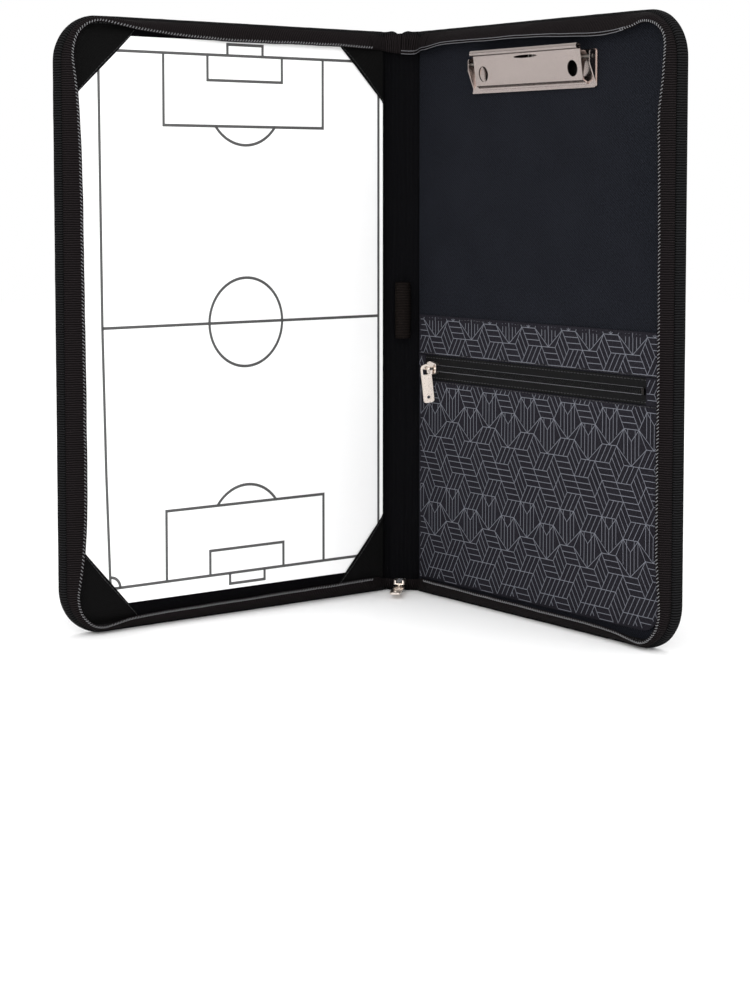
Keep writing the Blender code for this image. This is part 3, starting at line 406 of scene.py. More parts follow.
def ribbon(name, lines, width, lift):
    """Printed lines as thin flat strips. Each line is a list of places with the face's normal."""
    verts, faces = [], []
    for line in lines:
        first = len(verts)
        closed = (line[0][0] - line[-1][0]).length < 1e-6
        for i, (here, normal) in enumerate(line):
            ways = []
            if i or closed:
                ways.append((here - line[i - 1 if i else -2][0]).normalized())
            if i + 1 < len(line) or closed:
                ways.append((line[i + 1 if i + 1 < len(line) else 1][0] - here).normalized())
            ahead = (ways[0] + ways[-1]).normalized()
            # A corner is mitred, so that the line keeps its width on both sides of it
            side = ahead.cross(normal).normalized() * (width / 2000 / max(ahead.dot(ways[0]), 0.5))
            for depth in (lift, lift * 0.3):
                up = normal * (depth / 1000)
                verts += [here - side + up, here + side + up]
            if i:
                a, b = first + 4 * (i - 1), first + 4 * i
                faces += [(a, a + 1, b + 1, b), (a + 2, b + 2, b + 3, a + 3)]
                faces += [(a, b, b + 2, a + 2), (a + 1, a + 3, b + 3, b + 1)]
        last = first + 4 * (len(line) - 1)
        faces += [(first, first + 2, first + 3, first + 1), (last, last + 1, last + 3, last + 2)]
    obj = built(name, verts, faces)
    settle(obj.data)
    return obj


def edge_at(run, start):
    """(across, up) and the inward direction at a distance along a cover's edge, from the foot of the fold."""
    whole = edge_length(start)
    if run > whole / 2:
        here, inward = edge_at(whole - run, start)
        return Vector((here.x, HEIGHT - here.y)), Vector((inward.x, -inward.y))
    flat, round_corner = COVER_WIDTH - CORNER - start, CORNER * pi / 2
    if run <= flat:
        return Vector((start + run, 0)), Vector((0, 1))
    if run <= flat + round_corner:
        turn = (run - flat) / CORNER
        outward = Vector((sin(turn), -cos(turn)))
        return Vector((COVER_WIDTH - CORNER, CORNER)) + outward * CORNER, -outward
    return Vector((COVER_WIDTH, CORNER + run - flat - round_corner)), Vector((-1, 0))


def edge_length(start):
    return 2 * (COVER_WIDTH - CORNER - start) + CORNER * pi + HEIGHT - 2 * CORNER


def edge_runs(start, step):
    count = ceil(edge_length(start) / step)
    return [edge_length(start) * k / count for k in range(count + 1)]


def from_edge(across, up):
    """How far a place on a cover is from its outer edge."""
    if across > COVER_WIDTH - CORNER and not CORNER < up < HEIGHT - CORNER:
        middle = CORNER if up < CORNER else HEIGHT - CORNER
        return CORNER - hypot(across - COVER_WIDTH + CORNER, up - middle)
    return min(COVER_WIDTH - across, up, HEIGHT - up)


def wobble(*place, seed=0.0):
    """Smooth noise at a place given by two numbers and a seed, or by three."""
    return noise.noise(Vector((*place, seed)[:3]))


def smooth(share):
    """Eases a share from 0 to 1 in and out."""
    return share * share * (3 - 2 * share)


def kept_in(value, low=0.0, high=1.0):
    return min(max(value, low), high)


def on_edge(side, run, start, inset, out):
    """A point at a distance along a cover's edge and this far in from it, never below the floor."""
    here, inward = edge_at(run, start)
    place = here + inward * inset
    return at(side, place.x, max(place.y, 0.0), out)


def along_edge(side, start, step, section):
    """Rows round a cover's edge. Section gives the (inward, out) points at a distance along it."""
    return [[on_edge(side, run, start, *spot) for spot in section(run)] for run in edge_runs(start, step)]


def leaf(side, start, inset, radius, level, step, square_top=None):
    """Rows over a cover's face, round at its outer corners, or only at the lower one below a square top."""
    low, high, outer = inset, square_top or HEIGHT - inset, COVER_WIDTH - inset
    deep, wide = ceil((high - low) / step), ceil((outer - start) / step)
    ups = {round(low + (high - low) * k / deep, 4) for k in range(deep + 1)}
    for k in range(9):
        turn = radius * (1 - cos(pi / 2 * k / 8))
        ups.add(round(low + turn, 4))
        if not square_top:
            ups.add(round(high - turn, 4))
    rows, last = [], 0.0
    for up in sorted(ups):
        # A row that nearly falls on the last one is left out
        if up - last < 0.12 and up < high:
            continue
        last = up
        gap = max(low + radius - up, 0 if square_top else up - high + radius, 0)
        reach = outer - radius + sqrt(max(radius**2 - gap**2, 0))
        places = [start + (reach - start) * c / wide for c in range(wide + 1)]
        rows.append([at(side, u, up, level(u, up)) for u in places])
    return rows


def pucker(across, up):
    """The seam pulls the cloth into small folds square to the edge, which fade away from it."""
    depth = from_edge(across, up)
    along = across + up if depth == COVER_WIDTH - across else across * 1.1 - up * 0.9
    fade = exp(-max(depth - 8, 0) / 16)
    folds = 0.28 * fade * wobble(along / 5.0, depth / 14.0, seed=2.0)
    return folds + 0.16 * wobble(across / 38, up / 38, seed=7.0)


def binding_outline(run):
    """The folded tape seen end on: sewn down at both legs and rolled round the cover's edge."""
    fat = 0.18 * wobble(run / 23, 3.0) + 0.10 * wobble(run / 6, 9.0)
    tight = 0.06 * wobble(run / 3.0, 5.0)
    outer = [(9.5, 0.55), (9.3, 0.22), (8.4, 0.18 + tight), (7.8, 0.06), (5.5, 0.0), (3.0, -0.05)]
    wrap = [(1.5, 0.12), (0.55, 0.5), (0.12 - fat, 1.2), (-0.1 - fat, 2.6), (-0.15 - fat, 4.0)]
    wrap += [(-0.05 - fat, 5.3), (0.3 - fat, 6.4), (0.95, 7.0)]
    inner = [(1.9, 7.38 + fat), (3.0, 7.35 + fat * 0.5), (4.1, 7.1 + tight), (4.8, 7.12), (5.0, 6.75)]
    back = [(4.8, 6.6), (1.3, 6.62), (0.75, 6.1), (0.7, 4.0), (0.7, 1.1), (1.2, 0.72), (9.3, 0.72)]
    return outer + wrap + inner + back


# The points of this outline that lie on the tape's seen face
BINDING_FACE = slice(19)


def between(keys, place):
    """Runs in one smooth curve through (place, value) keys."""
    place = kept_in(place, keys[0][0], keys[-1][0])
    for i, ((low, start), (high, end)) in enumerate(zip(keys, keys[1:])):
        if place <= high:
            last, after, step = keys[max(i - 1, 0)], keys[min(i + 2, len(keys) - 1)], high - low
            leave = (end - last[1]) / (high - last[0]) * step
            arrive = (after[1] - start) / (after[0] - low) * step
            t = (place - low) / step
            return start + (end - start) * smooth(t) + leave * t * (1 - t) ** 2 - arrive * t * t * (1 - t)


# How far in the coil leans at places along the edge, from the foot of the fold: the tape is slack along
# the straight runs and drawn tight round the corners
FOOT_LEAN = [(0, 9.5), (90, 8.5), (172, 7.3), (205, 3.7)]
LEAN = {
    "front": FOOT_LEAN + [
        (230, 6.2), (256, 10.6), (290, 12.2), (430, 11.4), (487, 10.4), (515, 8.4), (539, 5.2),
        (553, 3.2), (568, 3.3), (600, 7.1), (649, 10.2), (733, 10.0), (763.8, 10.9),
    ],
    "back": FOOT_LEAN + [
        (230, 5.5), (262, 8.5), (378, 8.5), (470, 9.6), (499, 10.4), (519, 7.0), (531, 5.7), (546, 3.4),
        (568, 6.5), (580, 9.2), (603, 11.6), (657, 9.5), (700, 9.2), (745, 9.3), (763.8, 11.3),
    ],
}


def strip_outline(middle, thick):
    """Closed outline of a sheet of this thickness, from points along its middle."""
    left, right = [], []
    for i, here in enumerate(middle):
        ahead = (middle[min(i + 1, len(middle) - 1)] - middle[max(i - 1, 0)]).normalized()
        out = Vector((-ahead.y, ahead.x)) * thick / 2
        left.append(here + out)
        right.append(here - out)
    return left + right[::-1]


def gusset_middle(side, run):
    """The gusset from its seam under the binding to the edge that carries the coil, as eight points."""
    lean = between(LEAN[side], run) + 0.25 * wobble(run / 21, 1.0 + SIDE[side])
    foot, coil = Vector((1.9, 7.75)), Vector((lean, 12.4 - 0.1 * max(lean - 3.4, 0)))
    chord, along = (coil - foot).length, (coil - foot).normalized()
    # Where the coil is drawn tight, the spare cloth bows out behind it
    slack = 0.7 + 0.25 * max(9.4 - chord, 0) + 0.4 * wobble(run / 17, 4.0 + SIDE[side])
    bow = Vector((-along.y, along.x)) * slack
    points = []
    for k in range(8):
        share = k / 7
        fold = 0.35 * sin(share * 2 * pi) * wobble(run / 9, share * 2, seed=3.0)
        points.append(foot + (coil + along * 1.1 - foot) * share + bow * (sin(pi * share) + fold))
    return points


def main_coil(side, last):
    """A flattened screw on the gusset's inner face beside its loose edge, one turn for each tooth."""
    first, wide, high, points = 0.4, 0.5, 0.42, []
    for k in range(int((last - first) / MAIN_PITCH * COIL_STEPS) + 1):
        turn, run = 2 * pi * k / COIL_STEPS, first + MAIN_PITCH * k / COIL_STEPS
        line = gusset_middle(side, run)
        along = (line[7] - line[5]).normalized()
        out = Vector((-along.y, along.x))
        place = line[6].lerp(line[7], 0.3) + along * (wide * cos(turn)) + out * (0.3 + high * sin(turn))
        points.append(on_edge(side, run, GUSSET_START, *place))
    return points


def stitch_model():
    """One stitch: a short thread that dips into the cloth at both ends."""
    rows = []
    for x, radius, dip in ((-1.1, 0.1265, 0.12), (-0.6, 0.23, 0), (0.6, 0.23, 0), (1.1, 0.1265, 0.12)):
        turns = [pi / 3 * k for k in range(6)]
        rows.append([Vector((x, radius * cos(turn), radius * sin(turn) - dip)) / 1000 for turn in turns])
    obj = lay("stitch", rows, ring=True)
    data = obj.data
    bpy.data.objects.remove(obj)
    return data


STITCH = stitch_model()


def stitch_row(name, line, spacing, body):
    """One mesh of stitches along a line of (place, normal), one every spacing in millimetres."""
    places, left = [], 0.0
    for (here, normal), (there, _) in zip(line, line[1:]):
        run = (there - here).length * 1000
        ahead = (there - here).normalized()
        while left < run:
            side = normal.cross(ahead).normalized()
            up = ahead.cross(side)
            spot = here + ahead * (left / 1000)
            places.append(Matrix([[*row] for row in zip((*ahead, 0), (*side, 0), (*up, 0), (*spot, 1))]))
            left += spacing
        left -= run
    size = len(STITCH.vertices)
    verts = [place @ point.co for place in places for point in STITCH.vertices]
    faces = [[n * size + i for i in face.vertices] for n in range(len(places)) for face in STITCH.polygons]
    obj = built(name, verts, faces)
    obj.data.shade_smooth()
    keep(obj, THREAD, body)


def edge_line(side, inset, out, towards=1):
    """A line of (place, normal) on a cover's face, beside its edge."""
    runs = edge_runs(BINDING_START, 2.0)
    return [(on_edge(side, run, BINDING_START, inset, out), facing(side) * towards) for run in runs]


def make_cover(side):
    body = BODY[side]
    # Cover fabric over its foam: one quilted skin, seen from outside
    shell = leaf(side, 6.0, 1.0, CORNER - 1.0, lambda u, y: 1.0 + max(pucker(u, y), -0.25), 3.5)
    skin = cloth(f"{side}_cover_cloth", shell, 2.6, -facing(side))
    keep(skin, CANVAS, body, [f"{side}_outer_panel", f"{side}_padding"])

    def lining_level(u, y):
        swell = 0.28 * min(from_edge(u, y) / 30, 1)
        return 6.15 + swell * 0.8 + 0.08 * wobble(u / 45, y / 60, seed=11.0)
    inside = leaf(side, BINDING_START, 1.0, CORNER - 1.0, lining_level, 4.5)
    lining = cloth(f"{side}_lining_cloth", inside, 0.5, facing(side))
    keep(lining, LINING if side == "back" else SPINE_LINING, body, [f"{side}_lining"])
    cut_to(inside, [f"{side}_stiffener"], rounded=True)

    rows = along_edge(side, BINDING_START, 2.2, binding_outline)
    tape = lay(f"{side}_binding_tape", rows, ring=True)
    keep(tape, BINDING, body, [f"{side}_binding"])
    cut_to([row[BINDING_FACE] for row in rows], [skin, lining])

    rows = along_edge(side, GUSSET_START, 2.5, lambda run: strip_outline(gusset_middle(side, run), 0.7))
    gusset = lay(f"{side}_gusset_cloth", rows, ring=True)
    keep(gusset, ZIP_TAPE, body, [f"{side}_gusset"])
    middles = along_edge(side, GUSSET_START, 2.5, lambda run: gusset_middle(side, run))
    cut_to(middles, [tape])

    # The coil shows up to the fold on the front, but rolls under the tape along the top of the back
    last = edge_length(GUSSET_START) - 0.4 if side == "front" else 588.0
    keep(wire(f"{side}_zip_teeth", main_coil(side, last), 0.00028), COIL, body, [f"{side}_zip_coil"])
    stitch_row(f"{side}_binding_stitches_outside", edge_line(side, 8.4, 0.12, towards=-1), 3.0, body)
    stitch_row(f"{side}_binding_stitches_inside", edge_line(side, 4.0, 7.2), 3.0, body)
    coat(bpy.data.objects[f"{side}_stiffener"], FIBREBOARD)


for each in ("front", "back"):
    make_cover(each)


def past_fold(x):
    """How far a place lies beyond the fold, on a cover. X is counted across the spine and on beyond it."""
    return max(-x, x - SPINE, 0)


def from_fold(x):
    return min(abs(x), abs(x - SPINE))


def bulge(x):
    """How far the rounded spine stands out at this place."""
    half, crown = SPINE / 2 - 0.3, 4.0
    radius = (half**2 + crown**2) / (2 * crown)
    return 0 if past_fold(x) else sqrt(radius**2 - (x - SPINE / 2) ** 2) - (radius - crown)


def across_fold(side, reach, count_cover, count_spine):
    """Places from a cover to the middle of the spine, as (panel, x): the cover first."""
    ways = [(side, reach * (k / count_cover - 1)) for k in range(count_cover)]
    ways += [("spine", SPINE / 2 * k / count_spine) for k in range(count_spine + 1)]
    return [(panel_name, way if side == "front" else SPINE - way) for panel_name, way in ways]


def turn_with(obj, side):
    """Bakes a piece's place into its mesh. The places on both sides of the fold, between its cover and the
    spine, are worked out but not used.
    """
    inside = at("spine", 4.0 if side == "front" else SPINE - 4.0, HEIGHT / 2, FOLD_LEVEL)
    at(side, 4.0, HEIGHT / 2, FOLD_LEVEL)
    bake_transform(obj)


def mitred(panel_name, x, level, reach):
    """Cloth that lies above the fold's line gives way on both sides, so that it meets itself on the mitre."""
    give = max(level - FOLD_LEVEL, 0) * 0.43
    way = give + from_fold(x) * (1 - give / (SPINE / 2 if panel_name == "spine" else reach))
    return SPINE - way if panel_name == "spine" and x > SPINE / 2 else way


def notch(x):
    """The gathered dip in the spine's top edge, just on the front side of its middle, between two tucks."""
    tucks = exp(-(((x - 5.0) / 2) ** 2)) + exp(-(((x - 16.0) / 1.8) ** 2))
    return 1.7 * exp(-(((x - 10.3) / 2.3) ** 2)) - 0.4 * tucks


def make_spine_half(side):
    """Half the spine's cloth and lining. The front half stands in for the CAD pieces of the whole spine."""
    ups = [1.0 + (HEIGHT - 2.0) * k / 70 for k in range(71)]

    def outside(x, up):
        crease = 0.35 * wobble(x / 2.6, up / 60, seed=5.0) * exp(-((from_fold(x) / 6) ** 2))
        return 1.0 - bulge(x) + crease * (1 - past_fold(x) / 6.0)

    def inside(x, up):
        ease = min(past_fold(x) / 3.4, 1)
        near_end = exp(-min(up, HEIGHT - up) / 22)
        ripple = 0.5 * sin(x * 1.15 + 2.4 * wobble(up / 70, x / 9, seed=3.0)) * (1 - ease) * (0.5 + near_end)
        slack = 4.35 + ripple + 0.4 * wobble(x / 4, up / 35, seed=8.0)
        return slack + (5.85 - slack) * smooth(ease)

    for name, level, places, thick, way, look, rests_on, replaced in (
        (
            "cloth", outside, across_fold(side, 6.0, 5, 7), 0.8, -1, CANVAS,
            "cover_cloth", ["outer_panel", "padding"],
        ),
        ("lining", inside, across_fold(side, 5.0, 8, 14), 0.3, 1, SPINE_LINING, "lining_cloth", ["lining"]),
    ):
        spots = [(p, x if p == "spine" else past_fold(x), x) for p, x in places]
        rows = [[at(p, across, up, level(x, up)) for p, across, x in spots] for up in ups]
        piece = cloth(f"spine_{name}_{side}", rows, thick, facing("spine") * way)
        keep(piece, look, None, [f"spine_{cad}" for cad in replaced] if side == "front" else [])
        cut_to(rows, [f"{side}_{rests_on}"])
        turn_with(piece, side)


def end_tape(side, end):
    """Binding folded over one end of the spine, from the middle out to the cover's own binding."""
    reach, rows = 4.2, []
    for panel_name, x in across_fold(side, reach, 4, 16):
        free = 1 - min(past_fold(x) / reach, 1)
        dip = notch(x) * (1 if end == "top" else 0.25) * free
        pleat = (0.3 * sin(x * 2.6) if x > 10 else 0.12 * sin(x * 3.5)) * free
        row = []
        for d, z in binding_outline(x + 40.0):
            share = (z - 3) / 4.3
            z = z - bulge(x) - pleat * 0.3 if z < 3 else z - 2.0 * share * free + pleat * share
            up = d + dip if end == "bottom" else HEIGHT - (d + dip)
            row.append(at(panel_name, mitred(panel_name, x, z, reach), up, z))
        rows.append(row)
    tape = lay(f"spine_end_tape_{end}_{side}", rows, ring=True)
    keep(tape, BINDING, None, [f"spine_binding_{end}"] if side == "front" else [])
    cut_to([row[BINDING_FACE] for row in rows], [f"spine_cloth_{side}"])
    turn_with(tape, side)


# How far the loose cloth of the gusset reaches from its cover, over the end of the gusset itself
SLING_REACH = GUSSET_START + 0.6
# How far it hangs down across the top and bottom of the spine
DROOP = {
    "top": [(-17.1, 10.9), (0, 12.6), (12, 13.9), (22, 14.2), (32, 12.9), (41.1, 11.3)],
    "bottom": [(-17.1, 9.5), (4, 7.8), (20, 7.8), (41.1, 9.5)],
}


def sling_line(side, end, x):
    """The gusset where it runs on over the fold, as points from its seam down to its loose edge."""
    ease = smooth(1 - min(past_fold(x) / SLING_REACH, 1))
    # It leaves the cover as the gusset ends there, and hangs freely by the time it is over the spine
    cover_line = gusset_middle(side, edge_length(GUSSET_START) if end == "top" else 0.0)
    foot, edge = Vector((1.9, 5.85)), Vector((between(DROOP[end], x), 9.0))
    along = (edge - foot).normalized()
    normal = Vector((-along.y, along.x))
    gather = 0.9 * sin(x * 1.9 + 1.0) * exp(-(((x - 17) / 5) ** 2)) + 0.3 * sin(x * 1.3)
    line = []
    for k, start in enumerate(cover_line):
        part = k / 7
        pleat = gather * sin(pi * min(part * 1.1, 1))
        hung = foot + (edge - foot) * part + normal * (0.9 * sin(pi * part) + pleat)
        line.append(start.lerp(hung, ease))
    return line


def highlight_spot(line, n):
    """Where one of the two painted highlight lines lies on the gusset's face, near its loose edge."""
    return line[6 + n] + Vector((-0.2, 0.45))


def sling(side, end):
    """Gusset cloth that runs on over the fold and droops across the spine's end."""
    top = end == "top"
    lines = [(p, x, sling_line(side, end, x)) for p, x in across_fold(side, SLING_REACH, 12, 22)]

    def place(p, x, spot):
        return at(p, mitred(p, x, spot.y, SLING_REACH), HEIGHT - spot.x if top else max(spot.x, 0.0), spot.y)

    rows = [[place(p, x, spot) for spot in strip_outline(line, 0.7)] for p, x, line in lines]
    piece = lay(f"zip_end_cloth_{end}_{side}", rows, ring=True)
    keep(piece, ZIP_TAPE, None, [f"zip_tail_{end}"] if side == "front" else [])
    cut_to([row[:8] for row in rows], [f"spine_end_tape_{end}_{side}"])
    turn_with(piece, side)
    if top and side == "back":
        # Two pale wires: painted highlights on the edges of the tape
        for n in range(2):
            points = [place(p, x, highlight_spot(line, n)) for p, x, line in lines]
            turn_with(keep(wire(f"zip_end_highlight_{side}_{n + 1}", points, 0.0002), EDGE_HIGHLIGHT), side)


def back_edge_highlights():
    """The painted highlight lines run on along the top of the back cover, until the coil turns over at the
    corner.
    """
    runs = [run for run in edge_runs(GUSSET_START, 2.5) if run >= 584]
    for n in range(2):
        spots = [highlight_spot(gusset_middle("back", run), n) for run in runs]
        points = [on_edge("back", run, GUSSET_START, *spot) for run, spot in zip(runs, spots)]
        keep(wire(f"back_zip_highlight_{n + 1}", points, 0.0002), EDGE_HIGHLIGHT, "back_cover")


back_edge_highlights()
for each in ("front", "back"):
    make_spine_half(each)
    for end in ("top", "bottom"):
        end_tape(each, end)
        sling(each, end)


def make_pen_loop():
    """Tunnel of ribbed elastic, pulled in a little where it is sewn down."""
    low, high, centre, rows = 160.0, 195.0, 13.2, []
    for k in range(19):
        up, swell, outline = low + (high - low) * k / 18, 0.25 * sin(pi * k / 18), []
        # Round its outside, then back along its inside
        for inset, order in ((0.0, 1), (0.9, -1)):
            half, ring = 4.7 - inset, []
            limit = half + swell
            for j in range(22):
                turn = pi * (1.5 + 2 * j / 21 * 0.985) + 0.02
                z = (4.4 - inset) * sin(turn)
                x = (half + swell * 0.5) * cos(turn) * (1.12 if z < 0 else 1.0)
                ring.append((centre + kept_in(x, -limit, limit), 9.0 + z + (0.1 if inset else 0)))
            outline += ring[::order]
        rows.append([at("spine", x, up, z) for x, z in outline])
    loop = lay("pen_loop_elastic", rows, ring=True)
    keep(loop, ELASTIC, "spine", ["pen_loop"])
    cut_to([row[:22] for row in rows], ["spine_lining_front", "spine_lining_back"])


make_pen_loop()


coat(bpy.data.objects["tactics_board"], BOARD_FILM)
BOARD_TOP = 8.1


def arc(x, y, radius, first, last):
    """Points along an arc between two angles in degrees."""
    count = max(6, ceil(abs(last - first) / 5))
    turns = [radians(first + (last - first) * k / count) for k in range(count + 1)]
    return [(x + radius * cos(turn), y + radius * sin(turn)) for turn in turns]


def make_pitch():
    """Grey pitch lines, printed on the film."""
    left, right, low, high, ring = 9.0, 209.7, 24.6, 330.8, 26.3
    middle, half = (left + right) / 2, 174.1
    # The outer touchline closes in a little towards the foot of the film
    touchline = [(right - 4.9, low), (right - 2.8, 90.0), (right - 1.1, half), (right, high)]
    lines = [
        [(left, low), *touchline, (left, high), (left, low)],
        [(left, half), touchline[2]],
        arc(middle, half, ring, 0, 360),
    ]
    for end, way, corner in ((low, 1, touchline[0]), (high, -1, touchline[3])):
        for wide, deep in ((57.2, 41.3), (26.7, 14.7), (12.6, -6.4)):
            far, near_u, far_u = end + deep * way, middle - wide, middle + wide
            lines.append([(near_u, end), (near_u, far), (far_u, far), (far_u, end)])
        lines.append(arc(middle, end + way * 25.9, ring, 36.0 * way, 144.0 * way))
        lines.append(arc(left, end, 6.5, 0, 90 * way))
        lines.append(arc(*corner, 6.5, 180, 180 - 90 * way))
    placed = [[(at("front", u, y, BOARD_TOP), facing("front")) for u, y in line] for line in lines]
    keep(ribbon("pitch_lines", placed, 1.7, 0.03), PITCH_INK, "front_cover")


make_pitch()


def make_corner_pocket(name, reach_u, reach_y):
    """Triangle of cloth, sewn into the binding along two sides and hemmed along the third."""
    outer, top, normal = "outer" in name, "top" in name, facing("front")
    base_u = COVER_WIDTH - 4.5 if outer else 4.6
    base_y = HEIGHT - 4.5 if top else 4.5
    way_u, way_y = (-1 if outer else 1), (-1 if top else 1)
    radius = 22.0 if outer else 1.5
    turns = [pi / 2 * k / 8 for k in range(1, 8)]
    border = [(reach_u - (reach_u - radius) * k / 8, 0.0) for k in range(9)]
    border += [(radius * (1 - sin(turn)), radius * (1 - cos(turn))) for turn in turns]
    border += [(0.0, radius + (reach_y - radius) * k / 8) for k in range(9)]
    rows = []
    for i, sewn in enumerate(border):
        share = i / (len(border) - 1)
        hem = Vector((reach_u + 0.6, 0)).lerp(Vector((0, reach_y + 0.6)), share)
        row = []
        for k in range(15):
            part = (k / 14) ** 1.3
            place = Vector(sewn).lerp(hem, part)
            u, y = base_u + way_u * place.x, base_y + way_y * place.y
            # The cloth climbs over the board's edge, steeply where that lies close to the fold
            rise = smooth(kept_in(min((place.x - 0.1) / (5.0 if outer else 1.2), (place.y - 0.5) / 5.0)))
            lift = 0.45 * sin(pi * share) * part**2 + 0.3 * wobble(u / 16, y / 16, seed=6.0) * rise
            row.append(at("front", u, y, 7.1 + 1.9 * rise + lift * rise))
        rows.append(row)
    pocket = cloth(f"{name}_cloth", rows, 0.5, normal)
    keep(pocket, POCKET_CLOTH, "front_cover", [name])
    cut_to(rows, ["tactics_board"])
    edge = wire(f"{name}_hem", [row[-1] - normal * 0.0002 for row in rows], 0.0004, sides=8)
    keep(edge, POCKET_CLOTH, "front_cover")
    seam = [(row[-2].lerp(row[-1], 0.5) + normal * 0.0001, normal) for row in rows[1:-1]]
    stitch_row(f"{name}_stitches", seam, 2.6, "front_cover")


make_corner_pocket("corner_pocket_spine_bottom", 39.9, 44.5)
make_corner_pocket("corner_pocket_spine_top", 39.9, 39.5)
make_corner_pocket("corner_pocket_outer_bottom", 45.6, 51.0)
make_corner_pocket("corner_pocket_outer_top", 47.4, 44.1)


def flat_strip(name, side, across, up, level, thick, look, step, seed, replaced=()):
    """A straight woven strip on a cover, between its limits across and up, with the small waves of a tape."""
    deep, wide = ceil((up[1] - up[0]) / step), ceil((across[1] - across[0]) / step)
    # On the back cover the strips lie inside, on the front cover outside
    way, rows = (1 if side == "back" else -1), []
    for i in range(deep + 1):
        y = up[0] + (up[1] - up[0]) * i / deep
        places = [across[0] + (across[1] - across[0]) * k / wide for k in range(wide + 1)]
        rows.append([at(side, u, y, level + way * 0.06 * wobble(u / 12, y / 12, seed=seed)) for u in places])
    strip = cloth(name, rows, thick, facing(side) * way)
    keep(strip, look, BODY[side], replaced)
    cut_to(rows)


def make_band():
    normal, body = -facing("front"), "front_cover"
    for name, across, seed in (("woven_band", (12.1, 51.1), 1.0), ("narrow_tape", (51.5, 57.0), 2.0)):
        flat_strip(f"{name}_cloth", "front", across, (9.9, 340.1), 0.15, 0.6, WEBBING, 3.0, seed, [name])
    for n, across in enumerate((13.4, 49.8, 52.4, 56.1)):
        line = [(at("front", across, 10.5 + 3.0 * k, 0.08), normal) for k in range(111)]
        stitch_row(f"band_stitches_{n + 1}", line, 3.0, body)
    bars = []
    for down in (71, 142, 210, 280):
        turns = [(16.2 + 30.8 * k / 59, HEIGHT - down + (1.1 if k % 2 else -1.1)) for k in range(60)]
        bars.append([(at("front", u, y, 0.1), normal) for u, y in turns])
    keep(ribbon("band_bar_tacks", bars, 0.5, 0.12), THREAD, body)
    motif, middle = [], 31.6
    for k in range(14):
        for inset in (0.0, 3.2):
            up, wide, tall = 26 + 22.0 * k, 9 - inset, 8 - inset * 0.8
            side = (middle - wide, up)
            lozenge = [side, (middle, up - tall), (middle + wide, up), (middle, up + tall), side]
            motif.append([(at("front", u, y, 0.1), normal) for u, y in lozenge])
    keep(ribbon("band_motif", motif, 0.55, 0.1), MOTIF_YARN, body)


make_band()


def disc(name, radius, inner, level, look, replaced=()):
    """A flat ring or disc of transfer film on the outside of the front cover."""
    u, y, base, rows = COVER_WIDTH - 72.6, HEIGHT - 75.5, 0.72, []
    outline = [(inner, base), (inner, level), (radius - 0.06, level)]
    outline += [(radius, level + 0.05), (radius, base), (inner, base)]
    for k in range(73):
        turn = 2 * pi * k / 72
        rows.append([at("front", u + r * cos(turn), y + r * sin(turn), z) for r, z in outline])
    obj = lay(name, rows)
    settle(obj.data, merge=2e-6)
    obj.data.set_sharp_from_angle(angle=radians(40))
    keep(obj, look, "front_cover", replaced)


disc("badge_ring_blue", 30.5, 20.8, 0.34, BADGE_BLUE, ["front_badge"])
disc("badge_ring_yellow", 20.6, 18.6, 0.36, BADGE_YELLOW)
disc("badge_field_white", 18.4, 16.8, 0.36, BADGE_WHITE)
disc("badge_field_blue", 16.6, 0.0, 0.36, BADGE_BLUE)

# The pocket's edges: beside the fold, along the outer side, and at the foot
POCKET_FOLD, POCKET_OUTER, POCKET_FOOT = 5.5, 225.2, 9.8


def pocket_level(u, y):
    """The pocket cloth lies flat at its seams and lifts a little between them."""
    ease = kept_in(min(u - POCKET_FOLD, POCKET_OUTER - u) / 30) * kept_in((y - POCKET_FOOT) / 30)
    return 7.2 + 0.5 * ease + 0.22 * wobble(u / 26, y / 20, seed=4.0) * ease


def band_level(u, y):
    """The cloth above the pocket's zip, which is doubled along its top edge."""
    return 7.2 + 0.12 * wobble(u / 20, y / 14, seed=9.0) + (0.25 if y > 172 else 0)


def closed_coil(name, length, place, look, body, replaced):
    """Two flattened screws that mesh. Place turns (along, across, out) from the first tooth into a point."""
    for strand, side in ((0, -1), (1, 1)):
        line = []
        for k in range(int(length / POCKET_PITCH * COIL_STEPS)):
            turn, along = 2 * pi * k / COIL_STEPS, POCKET_PITCH * (k / COIL_STEPS + strand / 2)
            line.append(place(along, side * 0.72 * (1 + cos(turn)), side * 0.48 * sin(turn)))
        keep(wire(f"{name}_{strand + 1}", line, 0.0003, sides=5), look, body, [] if strand else [replaced])


